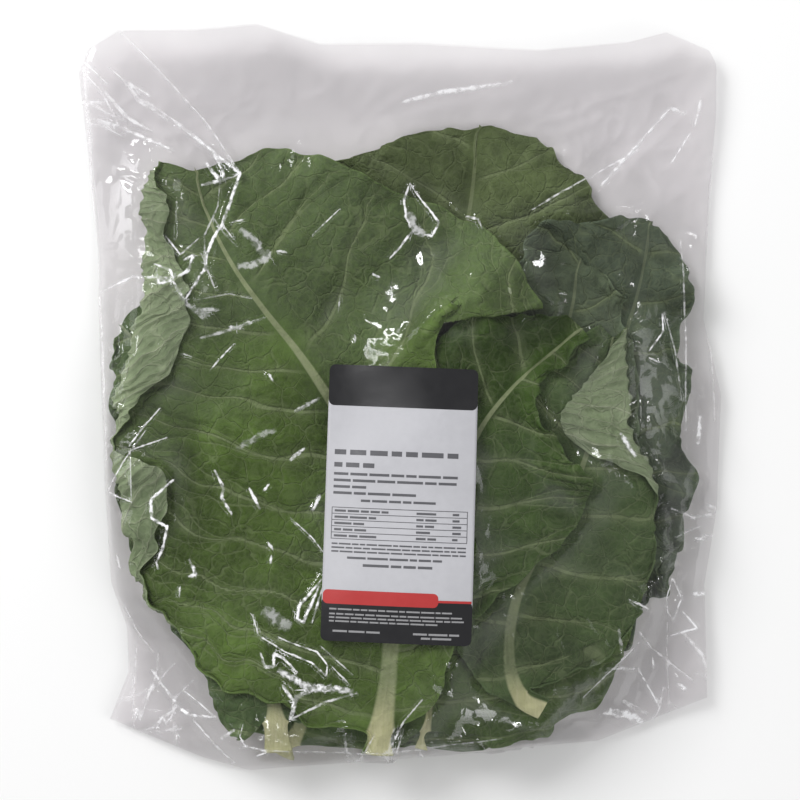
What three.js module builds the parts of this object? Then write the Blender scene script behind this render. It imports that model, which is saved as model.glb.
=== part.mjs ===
// Large flat kale leaves in a clear film bag that lies on its back, with a label on its front film.
// Units are millimetres. The bag's mouth is at +Y, the cut stems at -Y, and +Z is up from the table.
import * as THREE from "three";
import { mergeVertices } from "three/addons/utils/BufferGeometryUtils.js";

// Bag: its flat outline is made of four edges. The side edges run from the bottom seam to the mouth,
// the bottom and the mouth from -X to +X.
const BAG_LEFT = [
  [-146.5, -161], [-137, -137], [-138, -114], [-146, -92], [-149.5, -39],
  [-151.5, 30], [-152.5, 75], [-157.5, 125], [-162, 165], [-157, 177],
];
const BAG_RIGHT = [
  [155, -150], [153.5, -93], [160, -55], [162, 2], [153, 41],
  [156.5, 104], [159.5, 144], [159.5, 169], [156, 176],
];
const BAG_BOTTOM = [
  [-146.5, -161], [-100, -180], [-76, -187], [-49, -185], [27.5, -179], [100, -172], [155, -150],
];
const BAG_MOUTH = [
  [-157, 177], [-141.5, 186], [-102.5, 186], [-71.5, 189], [-40.5, 179],
  [10, 179], [70.5, 176], [115, 180], [134, 185], [156, 176],
];
const BAG_HALF_WIDTH = 162;
const BAG_HALF_LENGTH = 187.5;
const BAG_COLUMNS = 25;
const BAG_ROWS = 29;
const FILM_WALL = 0.8;
const FILM_OPEN = 2.1; // least distance between the outsides of the two films, next to a seam
const MOUTH_OPEN = 5;
const SEAM_CELL = 0.014; // share of the bag's width and length in the narrow cells along its seams
const SEAM_INSET = 0.5; // the inside of the bag starts this share of such a cell from the seams
const SEAM_LIFT = 6; // height of the seams over the table
const SEAM_WAVE = 0.3; // share of that height by which each of two waves changes it
const SEAM_WAVE_X = { length: 19, start: 1.1 };
const SEAM_WAVE_Y = { length: 23, start: 0.4 };
const DRAW_ROUNDS = 400; // passes that draw the front film tight
const LEAST_GRIP = 0.3; // a lift is left out where the corners that may move have less say than this
const CLEAR_ROUNDS = 60; // passes after that, which only lift it clear of what it covers
const FLAT_SHARE = 0.62; // the middle of the back film that lies flat on the table
const SEAM_SHARE = 1.05; // share of the half width or half length at which the lift is full

// Leaves
const BLADE = 0.7;
const CLEARANCE = 1.1; // air left between a leaf and what it lies on
const STALK_DEPTH = 5.2; // of the widest stalk, below the blade
const WIDEST_STALK = 7; // half width
const STALK_RISE = 1.6; // of the widest stalk, above the blade
const STALK_END = 1.9; // the section number at which the stalk has become a midrib
const RIB_TIP = 0.9; // half width of the midrib where it runs out at the tip
const RIB_TAPER = 0.92; // share of its depth that the midrib loses by the tip
const RIDGE_REACH = 1.4; // half width of the ridge under the blade, in half widths of the midrib
const RIDGE_SHARE = 0.4; // most of the blade's half width that the ridge takes
const PATH_STEPS = 120; // points along a midrib at which the leaf below it is made to clear it
const FOLD_RADIUS = 2.3;
const FOLD_ARC = 0.8; // most of a turned margin's depth that its round edge takes
const FOLD_BOW = 1.2; // how far a turned margin bows up between its edge and the fold
const CALM_FROM = 4; // a margin turned over by this much starts to lose its ruffle
const CALM_TO = 14; // and by this much it has none
const [LEFT_TURN, RIGHT_TURN] = [6, 7]; // places in a section of how much is turned over

// Ruffles: a leaf gives their height, the number of waves and the phase of the first
const RUFFLE_REACH = 0.4; // how far a margin swings outward, as a share of the ruffle's height
const RUFFLE_START = 0.45; // share of the blade's half width at which the ruffle begins
const RUFFLE_SHIFT = 1.7; // phase by which each side differs from the midrib
const RUFFLE_END = 0.12; // share of the blade's length, at its tip, over which the ruffle runs out
const SWELL_SHARE = 0.5; // height of the swell of the blade's middle, as a share of the ruffle's
const SWELL_WAVES = 0.55; // its number of waves, as a share of the ruffle's
const SWELL_START = 2;

// Label: its corners run clockwise from the top left
const LABEL = [
  [-35, 18],
  [39, 15],
  [35, -121],
  [-39.5, -119],
];
const LABEL_THICK = 0.6;
const LABEL_GAP = 0.35;
const LABEL_COLUMNS = 6;
const LABEL_ROWS = 10;
const LABEL_ROUNDS = 12; // passes that draw the label tight: it is stiffer than the film
const LABEL_CORNER = 0.9; // how far each corner is drawn in, on both sides

// Height grid: how high everything laid so far stands over each small square of the table
const CELL = 3;
const GRID_HALF_X = 171;
const GRID_HALF_Y = 198;
const CELLS_X = (2 * GRID_HALF_X) / CELL + 1;
const CELLS_Y = (2 * GRID_HALF_Y) / CELL + 1;
const DRAPE_REACH = 15; // a leaf bridges dips narrower than this
const DRAPE_SOFTEN = 2; // cells over which a leaf rounds off a step, done twice

// Each leaf is laid on those before it. Its cross sections run from the blade's base to its tip, and each
// gives the midrib, the left margin and the right margin (x, y each), then how much of the left and of the
// right margin is turned over on top of the blade.
const LEAVES = [
  {
    name: "leaf_top_back",
    cut: [0, -169],
    stalk: 6,
    ruffle: [4, 6.5, 0.4],
    columns: 5,
    sections: [
      [1, -158, -3.5, -158, 5.5, -158, 0, 0],
      [-1, -125, -50, -150, 40, -150, 0, 0],
      [0, -70, -92.5, -105, 85, -100, 0, 0],
      [10, -10, -105, -25, 116, -25, 0, 0],
      [25, 50, -92.5, 55, 120, 50, 0, 0],
      [35, 95, -50, 110, 101, 97, 0, 0],
      [40, 139, 10, 133, 68.5, 135, 0, 0],
    ],
  },
  {
    name: "leaf_left_back",
    cut: [-35, -171],
    stalk: 5.5,
    ruffle: [3.5, 6, 2.1],
    columns: 4,
    sections: [
      [-39, -158, -43.5, -158, -34.5, -157, 0, 0],
      [-51, -133, -82.5, -153, -20, -140, 0, 0],
      [-70, -90, -116, -106, -15, -80, 0, 0],
      [-90, -45, -138, -65, -30, -20, 0, 0],
      [-112.5, -5, -143, -20, -65, 35, 0, 0],
      [-129, 25, -145, 12, -105, 55, 0, 0],
      [-142, 38, -145.5, 30, -136, 43, 0, 0],
    ],
  },
  {
    name: "leaf_right_frilled",
    cut: [35, -170],
    stalk: 5.5,
    ruffle: [7, 8, 1.3],
    columns: 4,
    sections: [
      [37, -156, 33, -157, 41.5, -156, 0, 0],
      [46, -128, 20, -145, 85, -150, 0, 0],
      [62.5, -85, 20, -85, 125, -104, 0, 0],
      [82.5, -40, 30, -15, 141.5, -70, 0, 0],
      [102.5, 5, 45, 55, 143, -15, 0, 0],
      [117.5, 47, 72.5, 87, 140.5, 37, 0, 0],
      [127.5, 90, 112.5, 93, 138.5, 81, 0, 0],
    ],
  },
  {
    name: "leaf_bottom",
    cut: [-58, -179],
    stalk: 5,
    ruffle: [3, 5, 3.3],
    columns: 4,
    sections: [
      [-54.5, -171, -59.5, -169, -49.5, -173, 0, 0],
      [-46, -152, -87.5, -162, 0, -174, 0, 0],
      [-32.5, -110, -92.5, -120, 52.5, -168, 0, 0],
      [-17.5, -60, -80, -55, 80, -110, 0, 0],
      [-2.5, -10, -50, 5, 75, -35, 0, 0],
      [12.5, 35, -2.5, 37, 30, 32, 0, 0],
    ],
  },
  {
    name: "leaf_upper_right",
    cut: [52.5, -165],
    stalk: 4.5,
    ruffle: [5, 6, 5.2],
    columns: 4,
    sections: [
      [51.5, -151, 47.5, -152, 56, -152, 0, 0],
      [48.5, -120, 15, -133, 85, -130, 0, 0],
      [54, -70, 10, -73, 112.5, -83, 0, 0],
      [67.5, -15, 15, 0, 121, -20, 0, 0],
      [82.5, 30, 40, 55, 117, 35, 0, 0],
      [91, 70, 73.5, 75, 106, 60, 0, 0],
    ],
  },
  {
    name: "leaf_lower_left",
    cut: [-60.5, -175],
    stalk: 7,
    ruffle: [3, 5, 0.9],
    columns: 4,
    sections: [
      [-62, -159, -69, -161, -55, -160, 0, 0],
      [-64.5, -140, -83, -170, -37.5, -161, 0, 0],
      [-71, -110, -98, -136, -20, -120, 0, 0],
      [-80, -70, -122, -96, -25, -60, 0, 0],
      [-89, -30, -127.5, -40, -50, -10, 0, 0],
      [-96, 7, -117.5, 7, -77.5, 12, 0, 0],
    ],
  },
  {
    name: "leaf_lower_right",
    cut: [10.5, -174],
    stalk: 3.2,
    ruffle: [3.5, 6, 4.4],
    columns: 4,
    sections: [
      [12.5, -164, 9.5, -165, 15.5, -165, 0, 0],
      [16.5, -140, -4, -169, 54, -169, 0, 0],
      [23.5, -105, -15, -130, 95, -152, 0, 0],
      [37.5, -70, -7.5, -80, 116, -114, 0, 0],
      [57.5, -38, 10, -35, 126, -70, 0, 0],
      [80, -10, 50, 0, 106, -15, 0, 0],
    ],
  },
  {
    name: "leaf_right_folded",
    cut: [70.5, -154],
    stalk: 4.5,
    ruffle: [3, 6, 2.7],
    columns: 4,
    sections: [
      [60.5, -148, 57.5, -152, 63.5, -144, 0, 3],
      [54, -128, 34, -134, 81, -137, 0, 3],
      [57.5, -100, 25, -100, 106, -120, 0, 3],
      [70, -73, 30, -60, 122.5, -86, 0, 3],
      [86, -45, 45, -15, 127.5, -50, 0, 4],
      [96, -18, 60, 10, 114, -19, 0, 38],
      [103, 7, 80, 27, 112, 9, 0, 30],
      [107, 32, 100, 37, 111, 36, 0, 8],
    ],
  },
  {
    name: "leaf_front_right",
    cut: [23.5, -120],
    stalk: 3,
    ruffle: [2.5, 5, 0.2],
    columns: 4,
    sections: [
      [24.5, -111, 21.5, -112, 27.5, -112, 0, 0],
      [26, -88, 0, -100, 52.5, -96, 0, 0],
      [28, -60, -7.5, -65, 81, -70, 0, 0],
      [32, -34, -5, -25, 94, -45, 0, 0],
      [41, -13, 5, 10, 84, -25, 0, 0],
      [56, 6, 27.5, 37, 69, -5, 0, 0],
      [74, 22, 57.5, 44, 80, 17, 0, 0],
      [91, 36, 84, 41, 94, 31, 0, 0],
    ],
  },
  {
    name: "leaf_front",
    cut: [-10, -176],
    stalk: 6.8,
    ruffle: [2.5, 7, 1.6],
    columns: 6,
    sections: [
      [-9.5, -163, -16, -164, -3, -164, 3, 0],
      [-5, -128, -50, -157, 18, -147, 3, 0],
      [-4, -88, -97, -132, 28, -105, 3, 0],
      [-12, -46, -129, -88, 29, -45, 9, 0],
      [-27.5, -13, -138, -50, 20, 30, 30, 0],
      [-39, 6, -141, -23, 44, 56, 6, 0],
      [-52, 25, -139, 2, 69, 49, 22, 0],
      [-69, 46, -130, 41, 50, 79, 32, 0],
      [-84, 67, -128, 75, 0, 106, 22, 0],
      [-96, 91, -125, 102, -50, 125, 12, 0],
      [-104, 118, -117, 121, -89, 121, 3, 0],
    ],
  },
];

const MATERIALS = {
  leaf: new THREE.MeshStandardMaterial({ color: 0x55702f, roughness: 0.55, metalness: 0 }),
  film: new THREE.MeshStandardMaterial({
    color: 0xd8d6da,
    roughness: 0.15,
    metalness: 0,
    transparent: true,
    opacity: 0.25,
  }),
  label: new THREE.MeshStandardMaterial({ color: 0xdadade, roughness: 0.45, metalness: 0 }),
};

const mix = (a, b, t) => a + (b - a) * t;
const mixPoint = (p, q, t) => p.map((value, k) => mix(value, q[k], t));
const clamp = (value, low, high) => Math.min(high, Math.max(low, value));

function smooth(low, high, value) {
  const t = clamp((value - low) / (high - low), 0, 1);
  return t * t * (3 - 2 * t);
}

// A smooth curve through rows of numbers, one row a step of t.
function through(rows, t) {
  const i = clamp(Math.floor(t), 0, rows.length - 2);
  const s = t - i;
  const row = (k) => rows[clamp(k, 0, rows.length - 1)];
  return rows[i].map((_, k) => {
    const [before, start, end, after] = [row(i - 1)[k], row(i)[k], row(i + 1)[k], row(i + 2)[k]];
    const leave = (end - before) / 2;
    const arrive = (after - start) / 2;
    const bend = 2 * (start - end) + leave + arrive;
    return start + s * (leave + s * (3 * (end - start) - 2 * leave - arrive + s * bend));
  });
}

// A point at share t of the length of a line of straight stretches.
function along(points, t) {
  const lengths = points.slice(1).map((p, i) => Math.hypot(p[0] - points[i][0], p[1] - points[i][1]));
  let left = t * lengths.reduce((sum, length) => sum + length, 0);
  let i = 0;
  while (i < lengths.length - 1 && left > lengths[i]) {
    left -= lengths[i];
    i += 1;
  }
  return mixPoint(points[i], points[i + 1], left / lengths[i]);
}

// Heights over the table on a square grid.
class HeightField {
  constructor(height) {
    this.z = new Float64Array(CELLS_X * CELLS_Y);
    for (let j = 0; j < CELLS_Y; j++)
      for (let i = 0; i < CELLS_X; i++) {
        this.z[j * CELLS_X + i] = height(i * CELL - GRID_HALF_X, j * CELL - GRID_HALF_Y);
      }
  }

  cell(i, j) {
    return this.z[clamp(j, 0, CELLS_Y - 1) * CELLS_X + clamp(i, 0, CELLS_X - 1)];
  }

  at(x, y) {
    const u = (x + GRID_HALF_X) / CELL;
    const v = (y + GRID_HALF_Y) / CELL;
    const [i, j] = [Math.floor(u), Math.floor(v)];
    const low = mix(this.cell(i, j), this.cell(i + 1, j), u - i);
    const high = mix(this.cell(i, j + 1), this.cell(i + 1, j + 1), u - i);
    return mix(low, high, v - j);
  }

  each(value) {
    const result = new HeightField(() => 0);
    for (let j = 0; j < CELLS_Y; j++)
      for (let i = 0; i < CELLS_X; i++) result.z[j * CELLS_X + i] = value(i, j);
    return result;
  }

  // The highest value within reach of each cell.
  spread(reach) {
    const cells = Math.round(reach / CELL);
    return this.each((i, j) => {
      let top = -Infinity;
      for (let b = -cells; b <= cells; b++)
        for (let a = -cells; a <= cells; a++)
          if (a * a + b * b <= cells * cells) top = Math.max(top, this.cell(i + a, j + b));
      return top;
    });
  }

  // The mean over a square of cells.
  soften(cells) {
    return this.each((i, j) => {
      let sum = 0;
      for (let b = -cells; b <= cells; b++)
        for (let a = -cells; a <= cells; a++) sum += this.cell(i + a, j + b);
      return sum / (2 * cells + 1) ** 2;
    });
  }

  raiseCell(i, j, z) {
    const at = j * CELLS_X + i;
    this.z[at] = Math.max(this.z[at], z);
  }

  // Raises the heights to those of a triangle.
  raiseTriangle(p, q, r) {
    const column = (x) => (x + GRID_HALF_X) / CELL;
    const line = (y) => (y + GRID_HALF_Y) / CELL;
    const turn = (q[0] - p[0]) * (r[1] - p[1]) - (q[1] - p[1]) * (r[0] - p[0]);
    if (Math.abs(turn) < 1e-9) return;
    const [left, right] = [Math.min(p[0], q[0], r[0]), Math.max(p[0], q[0], r[0])];
    const [low, high] = [Math.min(p[1], q[1], r[1]), Math.max(p[1], q[1], r[1])];
    for (let j = Math.floor(line(low)); j <= Math.ceil(line(high)); j++)
      for (let i = Math.floor(column(left)); i <= Math.ceil(column(right)); i++) {
        const x = i * CELL - GRID_HALF_X;
        const y = j * CELL - GRID_HALF_Y;
        const b = ((x - p[0]) * (r[1] - p[1]) - (y - p[1]) * (r[0] - p[0])) / turn;
        const c = ((q[0] - p[0]) * (y - p[1]) - (q[1] - p[1]) * (x - p[0])) / turn;
        if (b < 0 || c < 0 || b + c > 1) continue;
        this.raiseCell(i, j, p[2] + b * (q[2] - p[2]) + c * (r[2] - p[2]));
      }
  }

  raiseMesh(triangles) {
    triangles.forEach((triangle) => {
      triangle.forEach((point) => {
        const i = Math.round((point[0] + GRID_HALF_X) / CELL);
        const j = Math.round((point[1] + GRID_HALF_Y) / CELL);
        this.raiseCell(i, j, point[2]);
      });
      this.raiseTriangle(...triangle);
    });
  }
}

// Closed geometry from triangles given by their corner points.
function geometryOf(triangles) {
  const soup = new THREE.BufferGeometry();
  soup.setAttribute("position", new THREE.Float32BufferAttribute(triangles.flat(2), 3));
  const merged = mergeVertices(soup, 1e-4);
  const { array } = merged.index;
  const kept = [];
  for (let i = 0; i < array.length; i += 3) {
    const [a, b, c] = [array[i], array[i + 1], array[i + 2]];
    if (a !== b && b !== c && c !== a) kept.push(a, b, c);
  }
  merged.setIndex(kept);
  merged.computeVertexNormals();
  return merged;
}

// Two triangles for four corners in turning order, cut from the first corner or from the second.
function quad(a, b, c, d, fromSecond = false) {
  return fromSecond ? [[a, b, d], [b, c, d]] : [[a, b, c], [a, c, d]];
}

function distance(p, q) {
  return Math.hypot(p[0] - q[0], p[1] - q[1], p[2] - q[2]);
}

// A closed sheet between an upper and a lower grid of points. Both are split alike, and the rows run so that
// a step along a row, then a step to the next row, turn left when seen from above.
function sheetTriangles(upper, lower) {
  const triangles = [];
  const [rows, columns] = [upper.length, upper[0].length];
  for (let i = 0; i < rows - 1; i++)
    for (let j = 0; j < columns - 1; j++) {
      const corners = (grid) => [grid[i][j], grid[i][j + 1], grid[i + 1][j + 1], grid[i + 1][j]];
      const [a, b, c, d] = corners(upper);
      const fromSecond = distance(b, d) < distance(a, c);
      triangles.push(...quad(a, b, c, d, fromSecond));
      const [e, f, g, h] = corners(lower);
      triangles.push(...quad(e, f, g, h, fromSecond).map((triangle) => triangle.reverse()));
    }
  const rim = [];
  for (let j = 0; j < columns - 1; j++) rim.push([0, j, 0, j + 1]);
  for (let i = 0; i < rows - 1; i++) rim.push([i, columns - 1, i + 1, columns - 1]);
  for (let j = columns - 1; j > 0; j--) rim.push([rows - 1, j, rows - 1, j - 1]);
  for (let i = rows - 1; i > 0; i--) rim.push([i, 0, i - 1, 0]);
  rim.forEach(([i, j, k, l]) => {
    triangles.push(...quad(lower[i][j], lower[k][l], upper[k][l], upper[i][j]));
  });
  return triangles;
}

function normalAt(grid, i, j) {
  const point = (a, b) => {
    return grid[clamp(a, 0, grid.length - 1)][clamp(b, 0, grid[0].length - 1)];
  };
  const across = point(i, j + 1).map((value, k) => value - point(i, j - 1)[k]);
  const onward = point(i + 1, j).map((value, k) => value - point(i - 1, j)[k]);
  return new THREE.Vector3(...across).cross(new THREE.Vector3(...onward)).normalize();
}

// How far the back film stands over the table. Its middle lies flat, and its seams are raised.
function backLift(x, y) {
  const edge = Math.max(Math.abs(x) / BAG_HALF_WIDTH, Math.abs(y) / BAG_HALF_LENGTH);
  const across = Math.sin(x / SEAM_WAVE_X.length + SEAM_WAVE_X.start);
  const onward = Math.sin(y / SEAM_WAVE_Y.length + SEAM_WAVE_Y.start);
  const lift = SEAM_LIFT * (1 + SEAM_WAVE * (across + onward));
  return lift * smooth(FLAT_SHARE, SEAM_SHARE, edge);
}

// One leaf

// The cross section at t, with the stalk's cut end as the first.
function sectionAt(leaf, t) {
  const [x, y] = leaf.cut;
  const [nextX, nextY] = leaf.sections[0];
  const length = Math.hypot(nextX - x, nextY - y);
  const side = [(-(nextY - y) / length) * leaf.stalk, ((nextX - x) / length) * leaf.stalk];
  const turned = leaf.sections[0].slice(LEFT_TURN);
  const cut = [x, y, x + side[0], y + side[1], x - side[0], y - side[1], ...turned];
  return through([cut, ...leaf.sections], t);
}

// Share of the blade's length, from its base to its tip.
const bladeShare = (leaf, t) => clamp((t - 1) / (leaf.sections.length - 1), 0, 1);

// 1 on the stalk, 0 on the blade.
const stalkShare = (t) => 1 - smooth(1, STALK_END, t);

function ribHalfWidth(leaf, t) {
  return mix(leaf.stalk, RIB_TIP, Math.sqrt(bladeShare(leaf, t)));
}

function ribDepth(leaf, t) {
  const taper = 1 - RIB_TAPER * Math.sqrt(bladeShare(leaf, t));
  return STALK_DEPTH * (leaf.stalk / WIDEST_STALK) * taper;
}

// Share of the full rib depth at a distance from the midrib, where the blade or stalk is half wide.
function ribShape(leaf, t, from, half) {
  const round = Math.sqrt(Math.max(0, 1 - (from / half) ** 2));
  const ridge = Math.max(0, 1 - from / (RIDGE_REACH * ribHalfWidth(leaf, t)));
  return mix(ridge, round, stalkShare(t));
}

// Shares of the half width at which a blade has its columns, from the midrib out.
function columnShares(leaf, t, half) {
  const edge = Math.min((RIDGE_REACH * ribHalfWidth(leaf, t)) / half, RIDGE_SHARE);
  const shares = [];
  for (let k = 0; k <= leaf.columns; k++) shares.push(mix(edge, 1, k / leaf.columns));
  return shares;
}

function rufflePhase(leaf, t, side) {
  const [, waves, start] = leaf.ruffle;
  return 2 * Math.PI * waves * bladeShare(leaf, t) + start + side * RUFFLE_SHIFT;
}

// How much of the ruffle is left at t: none on the stalk and none at the tip.
function ruffleShare(leaf, t) {
  return (1 - stalkShare(t)) * smooth(0, RUFFLE_END, 1 - bladeShare(leaf, t));
}

// The rise of a point of the blade over a plain drape: broad swells, and a ruffle along the margin.
function ruffleRise(leaf, t, share, side) {
  const [height] = leaf.ruffle;
  const phase = rufflePhase(leaf, t, side);
  const wave = (angle) => 0.5 + 0.5 * Math.sin(angle);
  const margin = height * smooth(RUFFLE_START, 1, share) * wave(phase);
  const hump = 4 * share * (1 - share);
  const swell = SWELL_SHARE * height * hump * wave(phase * SWELL_WAVES + SWELL_START);
  return (margin + swell) * ruffleShare(leaf, t);
}

// How far the ruffle pushes the margin out or in.
function ruffleReach(leaf, t, side) {
  const reach = RUFFLE_REACH * leaf.ruffle[0] * Math.cos(rufflePhase(leaf, t, side));
  return reach * ruffleShare(leaf, t);
}

// How far a point past the fold line goes outward and up, where the margin is turned over by depth.
function turnedOver(distancePast, depth) {
  const arc = Math.PI * FOLD_RADIUS;
  if (distancePast <= arc) {
    const angle = distancePast / FOLD_RADIUS;
    return [FOLD_RADIUS * Math.sin(angle), FOLD_RADIUS * (1 - Math.cos(angle))];
  }
  const back = distancePast - arc;
  return [-back, 2 * FOLD_RADIUS + FOLD_BOW * Math.sin((Math.PI * back) / depth)];
}

// Distances past the fold line at which a turned margin has its columns.
function turnedColumns(depth) {
  const arc = Math.min(Math.PI * FOLD_RADIUS, FOLD_ARC * depth);
  const flat = depth - arc;
  return [arc / 2, arc, arc + flat / 2, depth];
}

// Plan position, rise and rib depth of each point of one side, from the midrib out.
function sidePoints(leaf, t, side) {
  const section = sectionAt(leaf, t);
  const middle = section.slice(0, 2);
  const margin = side > 0 ? section.slice(2, 4) : section.slice(4, 6);
  const turn = side > 0 ? LEFT_TURN : RIGHT_TURN;
  const depth = section[turn];
  const turns = leaf.sections.some((row) => row[turn] > 0);
  const straight = Math.hypot(margin[0] - middle[0], margin[1] - middle[1]);
  const calm = turns ? 1 - smooth(CALM_FROM, CALM_TO, depth) : 1;
  const half = straight + ruffleReach(leaf, t, side) * calm;
  const out = [0, 1].map((k) => ((margin[k] - middle[k]) * half) / straight);
  const points = columnShares(leaf, t, half).map((share) => ({
    x: middle[0] + out[0] * share,
    y: middle[1] + out[1] * share,
    rise: ruffleRise(leaf, t, share, side) * mix(1, calm, share),
    rib: ribShape(leaf, t, share * half, half) * ribDepth(leaf, t),
  }));
  if (turns)
    turnedColumns(depth).forEach((past) => {
      const [outward, up] = turnedOver(past, depth);
      points.push({
        x: middle[0] + (out[0] / half) * (half + outward),
        y: middle[1] + (out[1] / half) * (half + outward),
        rise: ruffleRise(leaf, t, 1, side) * calm + up,
        rib: 0,
      });
    });
  return points;
}

function leafRow(leaf, t) {
  const [x, y] = sectionAt(leaf, t);
  const centre = { x, y, rise: 0, rib: ribDepth(leaf, t) };
  return [...sidePoints(leaf, t, 1).reverse(), centre, ...sidePoints(leaf, t, -1)];
}

// The surface that a leaf lies on: what is under it, raised for its own midrib and stalk, and smoothed.
function supportFor(leaf, field) {
  const needed = field.each((i, j) => field.cell(i, j));
  const last = leaf.sections.length;
  for (let k = 0; k <= PATH_STEPS; k++) {
    const t = (k / PATH_STEPS) * last;
    const [x, y] = sectionAt(leaf, t);
    const i = Math.round((x + GRID_HALF_X) / CELL);
    const j = Math.round((y + GRID_HALF_Y) / CELL);
    const cells = Math.ceil(ribHalfWidth(leaf, t) / CELL);
    for (let b = -cells; b <= cells; b++)
      for (let a = -cells; a <= cells; a++)
        needed.raiseCell(i + a, j + b, field.cell(i + a, j + b) + ribDepth(leaf, t));
  }
  return needed.spread(DRAPE_REACH).soften(DRAPE_SOFTEN).soften(DRAPE_SOFTEN);
}

function leafTriangles(leaf, field) {
  const support = supportFor(leaf, field);
  const last = leaf.sections.length;
  const rowsPerSection = leaf.sections.length > 9 ? 2 : 3;
  const rows = [];
  for (let k = 0; k <= last * rowsPerSection; k++) rows.push(leafRow(leaf, k / rowsPerSection));
  const middle = rows.map((row) =>
    row.map(({ x, y, rise }) => [x, y, support.at(x, y) + CLEARANCE + BLADE / 2 + rise]),
  );
  const offset = (up) =>
    middle.map((row, i) =>
      row.map((point, j) => {
        const normal = normalAt(middle, i, j).toArray();
        const { rib } = rows[i][j];
        const by = up ? BLADE / 2 + (STALK_RISE / STALK_DEPTH) * rib : -BLADE / 2 - rib;
        return point.map((value, k) => value + normal[k] * by);
      }),
    );
  // The rows run from the stem to the tip and each row from left to right, so the grid turns right.
  const flip = (grid) => grid.map((row) => [...row].reverse());
  return sheetTriangles(flip(offset(true)), flip(offset(false))).map((triangle) =>
    [...triangle].reverse(),
  );
}

// The bag

function bagPlan(s, t) {
  const sides = mixPoint(along(BAG_LEFT, t), along(BAG_RIGHT, t), s);
  const ends = mixPoint(along(BAG_BOTTOM, s), along(BAG_MOUTH, s), t);
  const corners = mixPoint(
    mixPoint(BAG_LEFT[0], BAG_RIGHT[0], s),
    mixPoint(BAG_LEFT.at(-1), BAG_RIGHT.at(-1), s),
    t,
  );
  return [sides[0] + ends[0] - corners[0], sides[1] + ends[1] - corners[1]];
}

// Shares of the width or length at which the bag has its grid lines: even, but for a narrow cell at each end.
function shareAt(line, cells) {
  if (line === 0 || line === cells) return line / cells;
  return SEAM_CELL + ((1 - 2 * SEAM_CELL) * (line - 1)) / (cells - 2);
}

function bagGrid(height) {
  const rows = [];
  for (let i = 0; i <= BAG_ROWS; i++) {
    const row = [];
    for (let j = 0; j <= BAG_COLUMNS; j++) {
      const [x, y] = bagPlan(shareAt(j, BAG_COLUMNS), shareAt(i, BAG_ROWS));
      row.push([x, y, height(x, y, i, j)]);
    }
    rows.push(row);
  }
  return rows;
}

// The cells of the bag are cut to and fro, so that its folds run neither way.
const cutFromSecond = (i, j) => (i + j) % 2 === 1;

// The triangles of a grid over the bag's outline, facing up.
function cellTriangles(grid) {
  const triangles = [];
  for (let i = 0; i < BAG_ROWS; i++)
    for (let j = 0; j < BAG_COLUMNS; j++) {
      const corners = [grid[i][j], grid[i][j + 1], grid[i + 1][j + 1], grid[i + 1][j]];
      triangles.push(...quad(...corners, cutFromSecond(i, j)));
    }
  return triangles;
}

const onSeam = (i, j) => i === 0 || j === 0 || j === BAG_COLUMNS;

// The height that a point of a tight sheet takes from the points around it, the nearer ones counting more.
function tightHeight(point, around) {
  let [sum, weights] = [0, 0];
  around.forEach((other) => {
    const weight = 1 / Math.hypot(other[0] - point[0], other[1] - point[1]);
    sum += other[2] * weight;
    weights += weight;
  });
  return sum / weights;
}

// The cells of the height grid under a triangle: the shares of its corners there, and the height needed.
function cellsUnder(corners, needed) {
  const [p, q, r] = corners;
  const turn = (q[0] - p[0]) * (r[1] - p[1]) - (q[1] - p[1]) * (r[0] - p[0]);
  const range = (k, half) => {
    const values = corners.map((corner) => (corner[k] + half) / CELL);
    return [Math.ceil(Math.min(...values)), Math.floor(Math.max(...values))];
  };
  const [left, right] = range(0, GRID_HALF_X);
  const [low, high] = range(1, GRID_HALF_Y);
  const found = [];
  for (let j = low; j <= high; j++)
    for (let i = left; i <= right; i++) {
      const x = i * CELL - GRID_HALF_X;
      const y = j * CELL - GRID_HALF_Y;
      const b = ((x - p[0]) * (r[1] - p[1]) - (y - p[1]) * (r[0] - p[0])) / turn;
      const c = ((q[0] - p[0]) * (y - p[1]) - (q[1] - p[1]) * (x - p[0])) / turn;
      if (b >= 0 && c >= 0 && b + c <= 1) {
        found.push({ corners, shares: [1 - b - c, b, c], height: needed.cell(i, j) });
      }
    }
  return found;
}

// Draws a grid of points tight over needed heights. cutsOf says how a cell may be cut: from its first corner
// (false), its second (true) or either.
function drawTight(grid, needed, { isFixed, cutsOf, rounds }) {
  const points = grid.map((row) => row.map((point) => [...point]));
  const fixed = new Set();
  points.forEach((row, i) => row.forEach((point, j) => isFixed(i, j) && fixed.add(point)));
  const covered = [];
  for (let i = 0; i < points.length - 1; i++)
    for (let j = 0; j < points[0].length - 1; j++) {
      const corners = [points[i][j], points[i][j + 1], points[i + 1][j + 1], points[i + 1][j]];
      cutsOf(i, j)
        .flatMap((fromSecond) => quad(...corners, fromSecond))
        .forEach((triangle) => covered.push(...cellsUnder(triangle, needed)));
    }
  const lift = () =>
    covered.forEach(({ corners, shares, height }) => {
      const short = height - corners.reduce((sum, corner, k) => sum + corner[2] * shares[k], 0);
      if (short <= 0) return;
      const free = shares.map((share, k) => (fixed.has(corners[k]) ? 0 : share));
      const total = free.reduce((sum, share) => sum + share * share, 0);
      if (total < LEAST_GRIP) return;
      corners.forEach((corner, k) => (corner[2] += (short * free[k]) / total));
    });
  for (let round = 0; round < rounds + CLEAR_ROUNDS; round++) {
    lift();
    if (round >= rounds) continue;
    points.forEach((row, i) =>
      row.forEach((point, j) => {
        if (fixed.has(point)) return;
        const around = [points[i - 1]?.[j], points[i + 1]?.[j], row[j - 1], row[j + 1]];
        point[2] = Math.max(grid[i][j][2], tightHeight(point, around.filter(Boolean)));
      }),
    );
  }
  return points;
}

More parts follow.
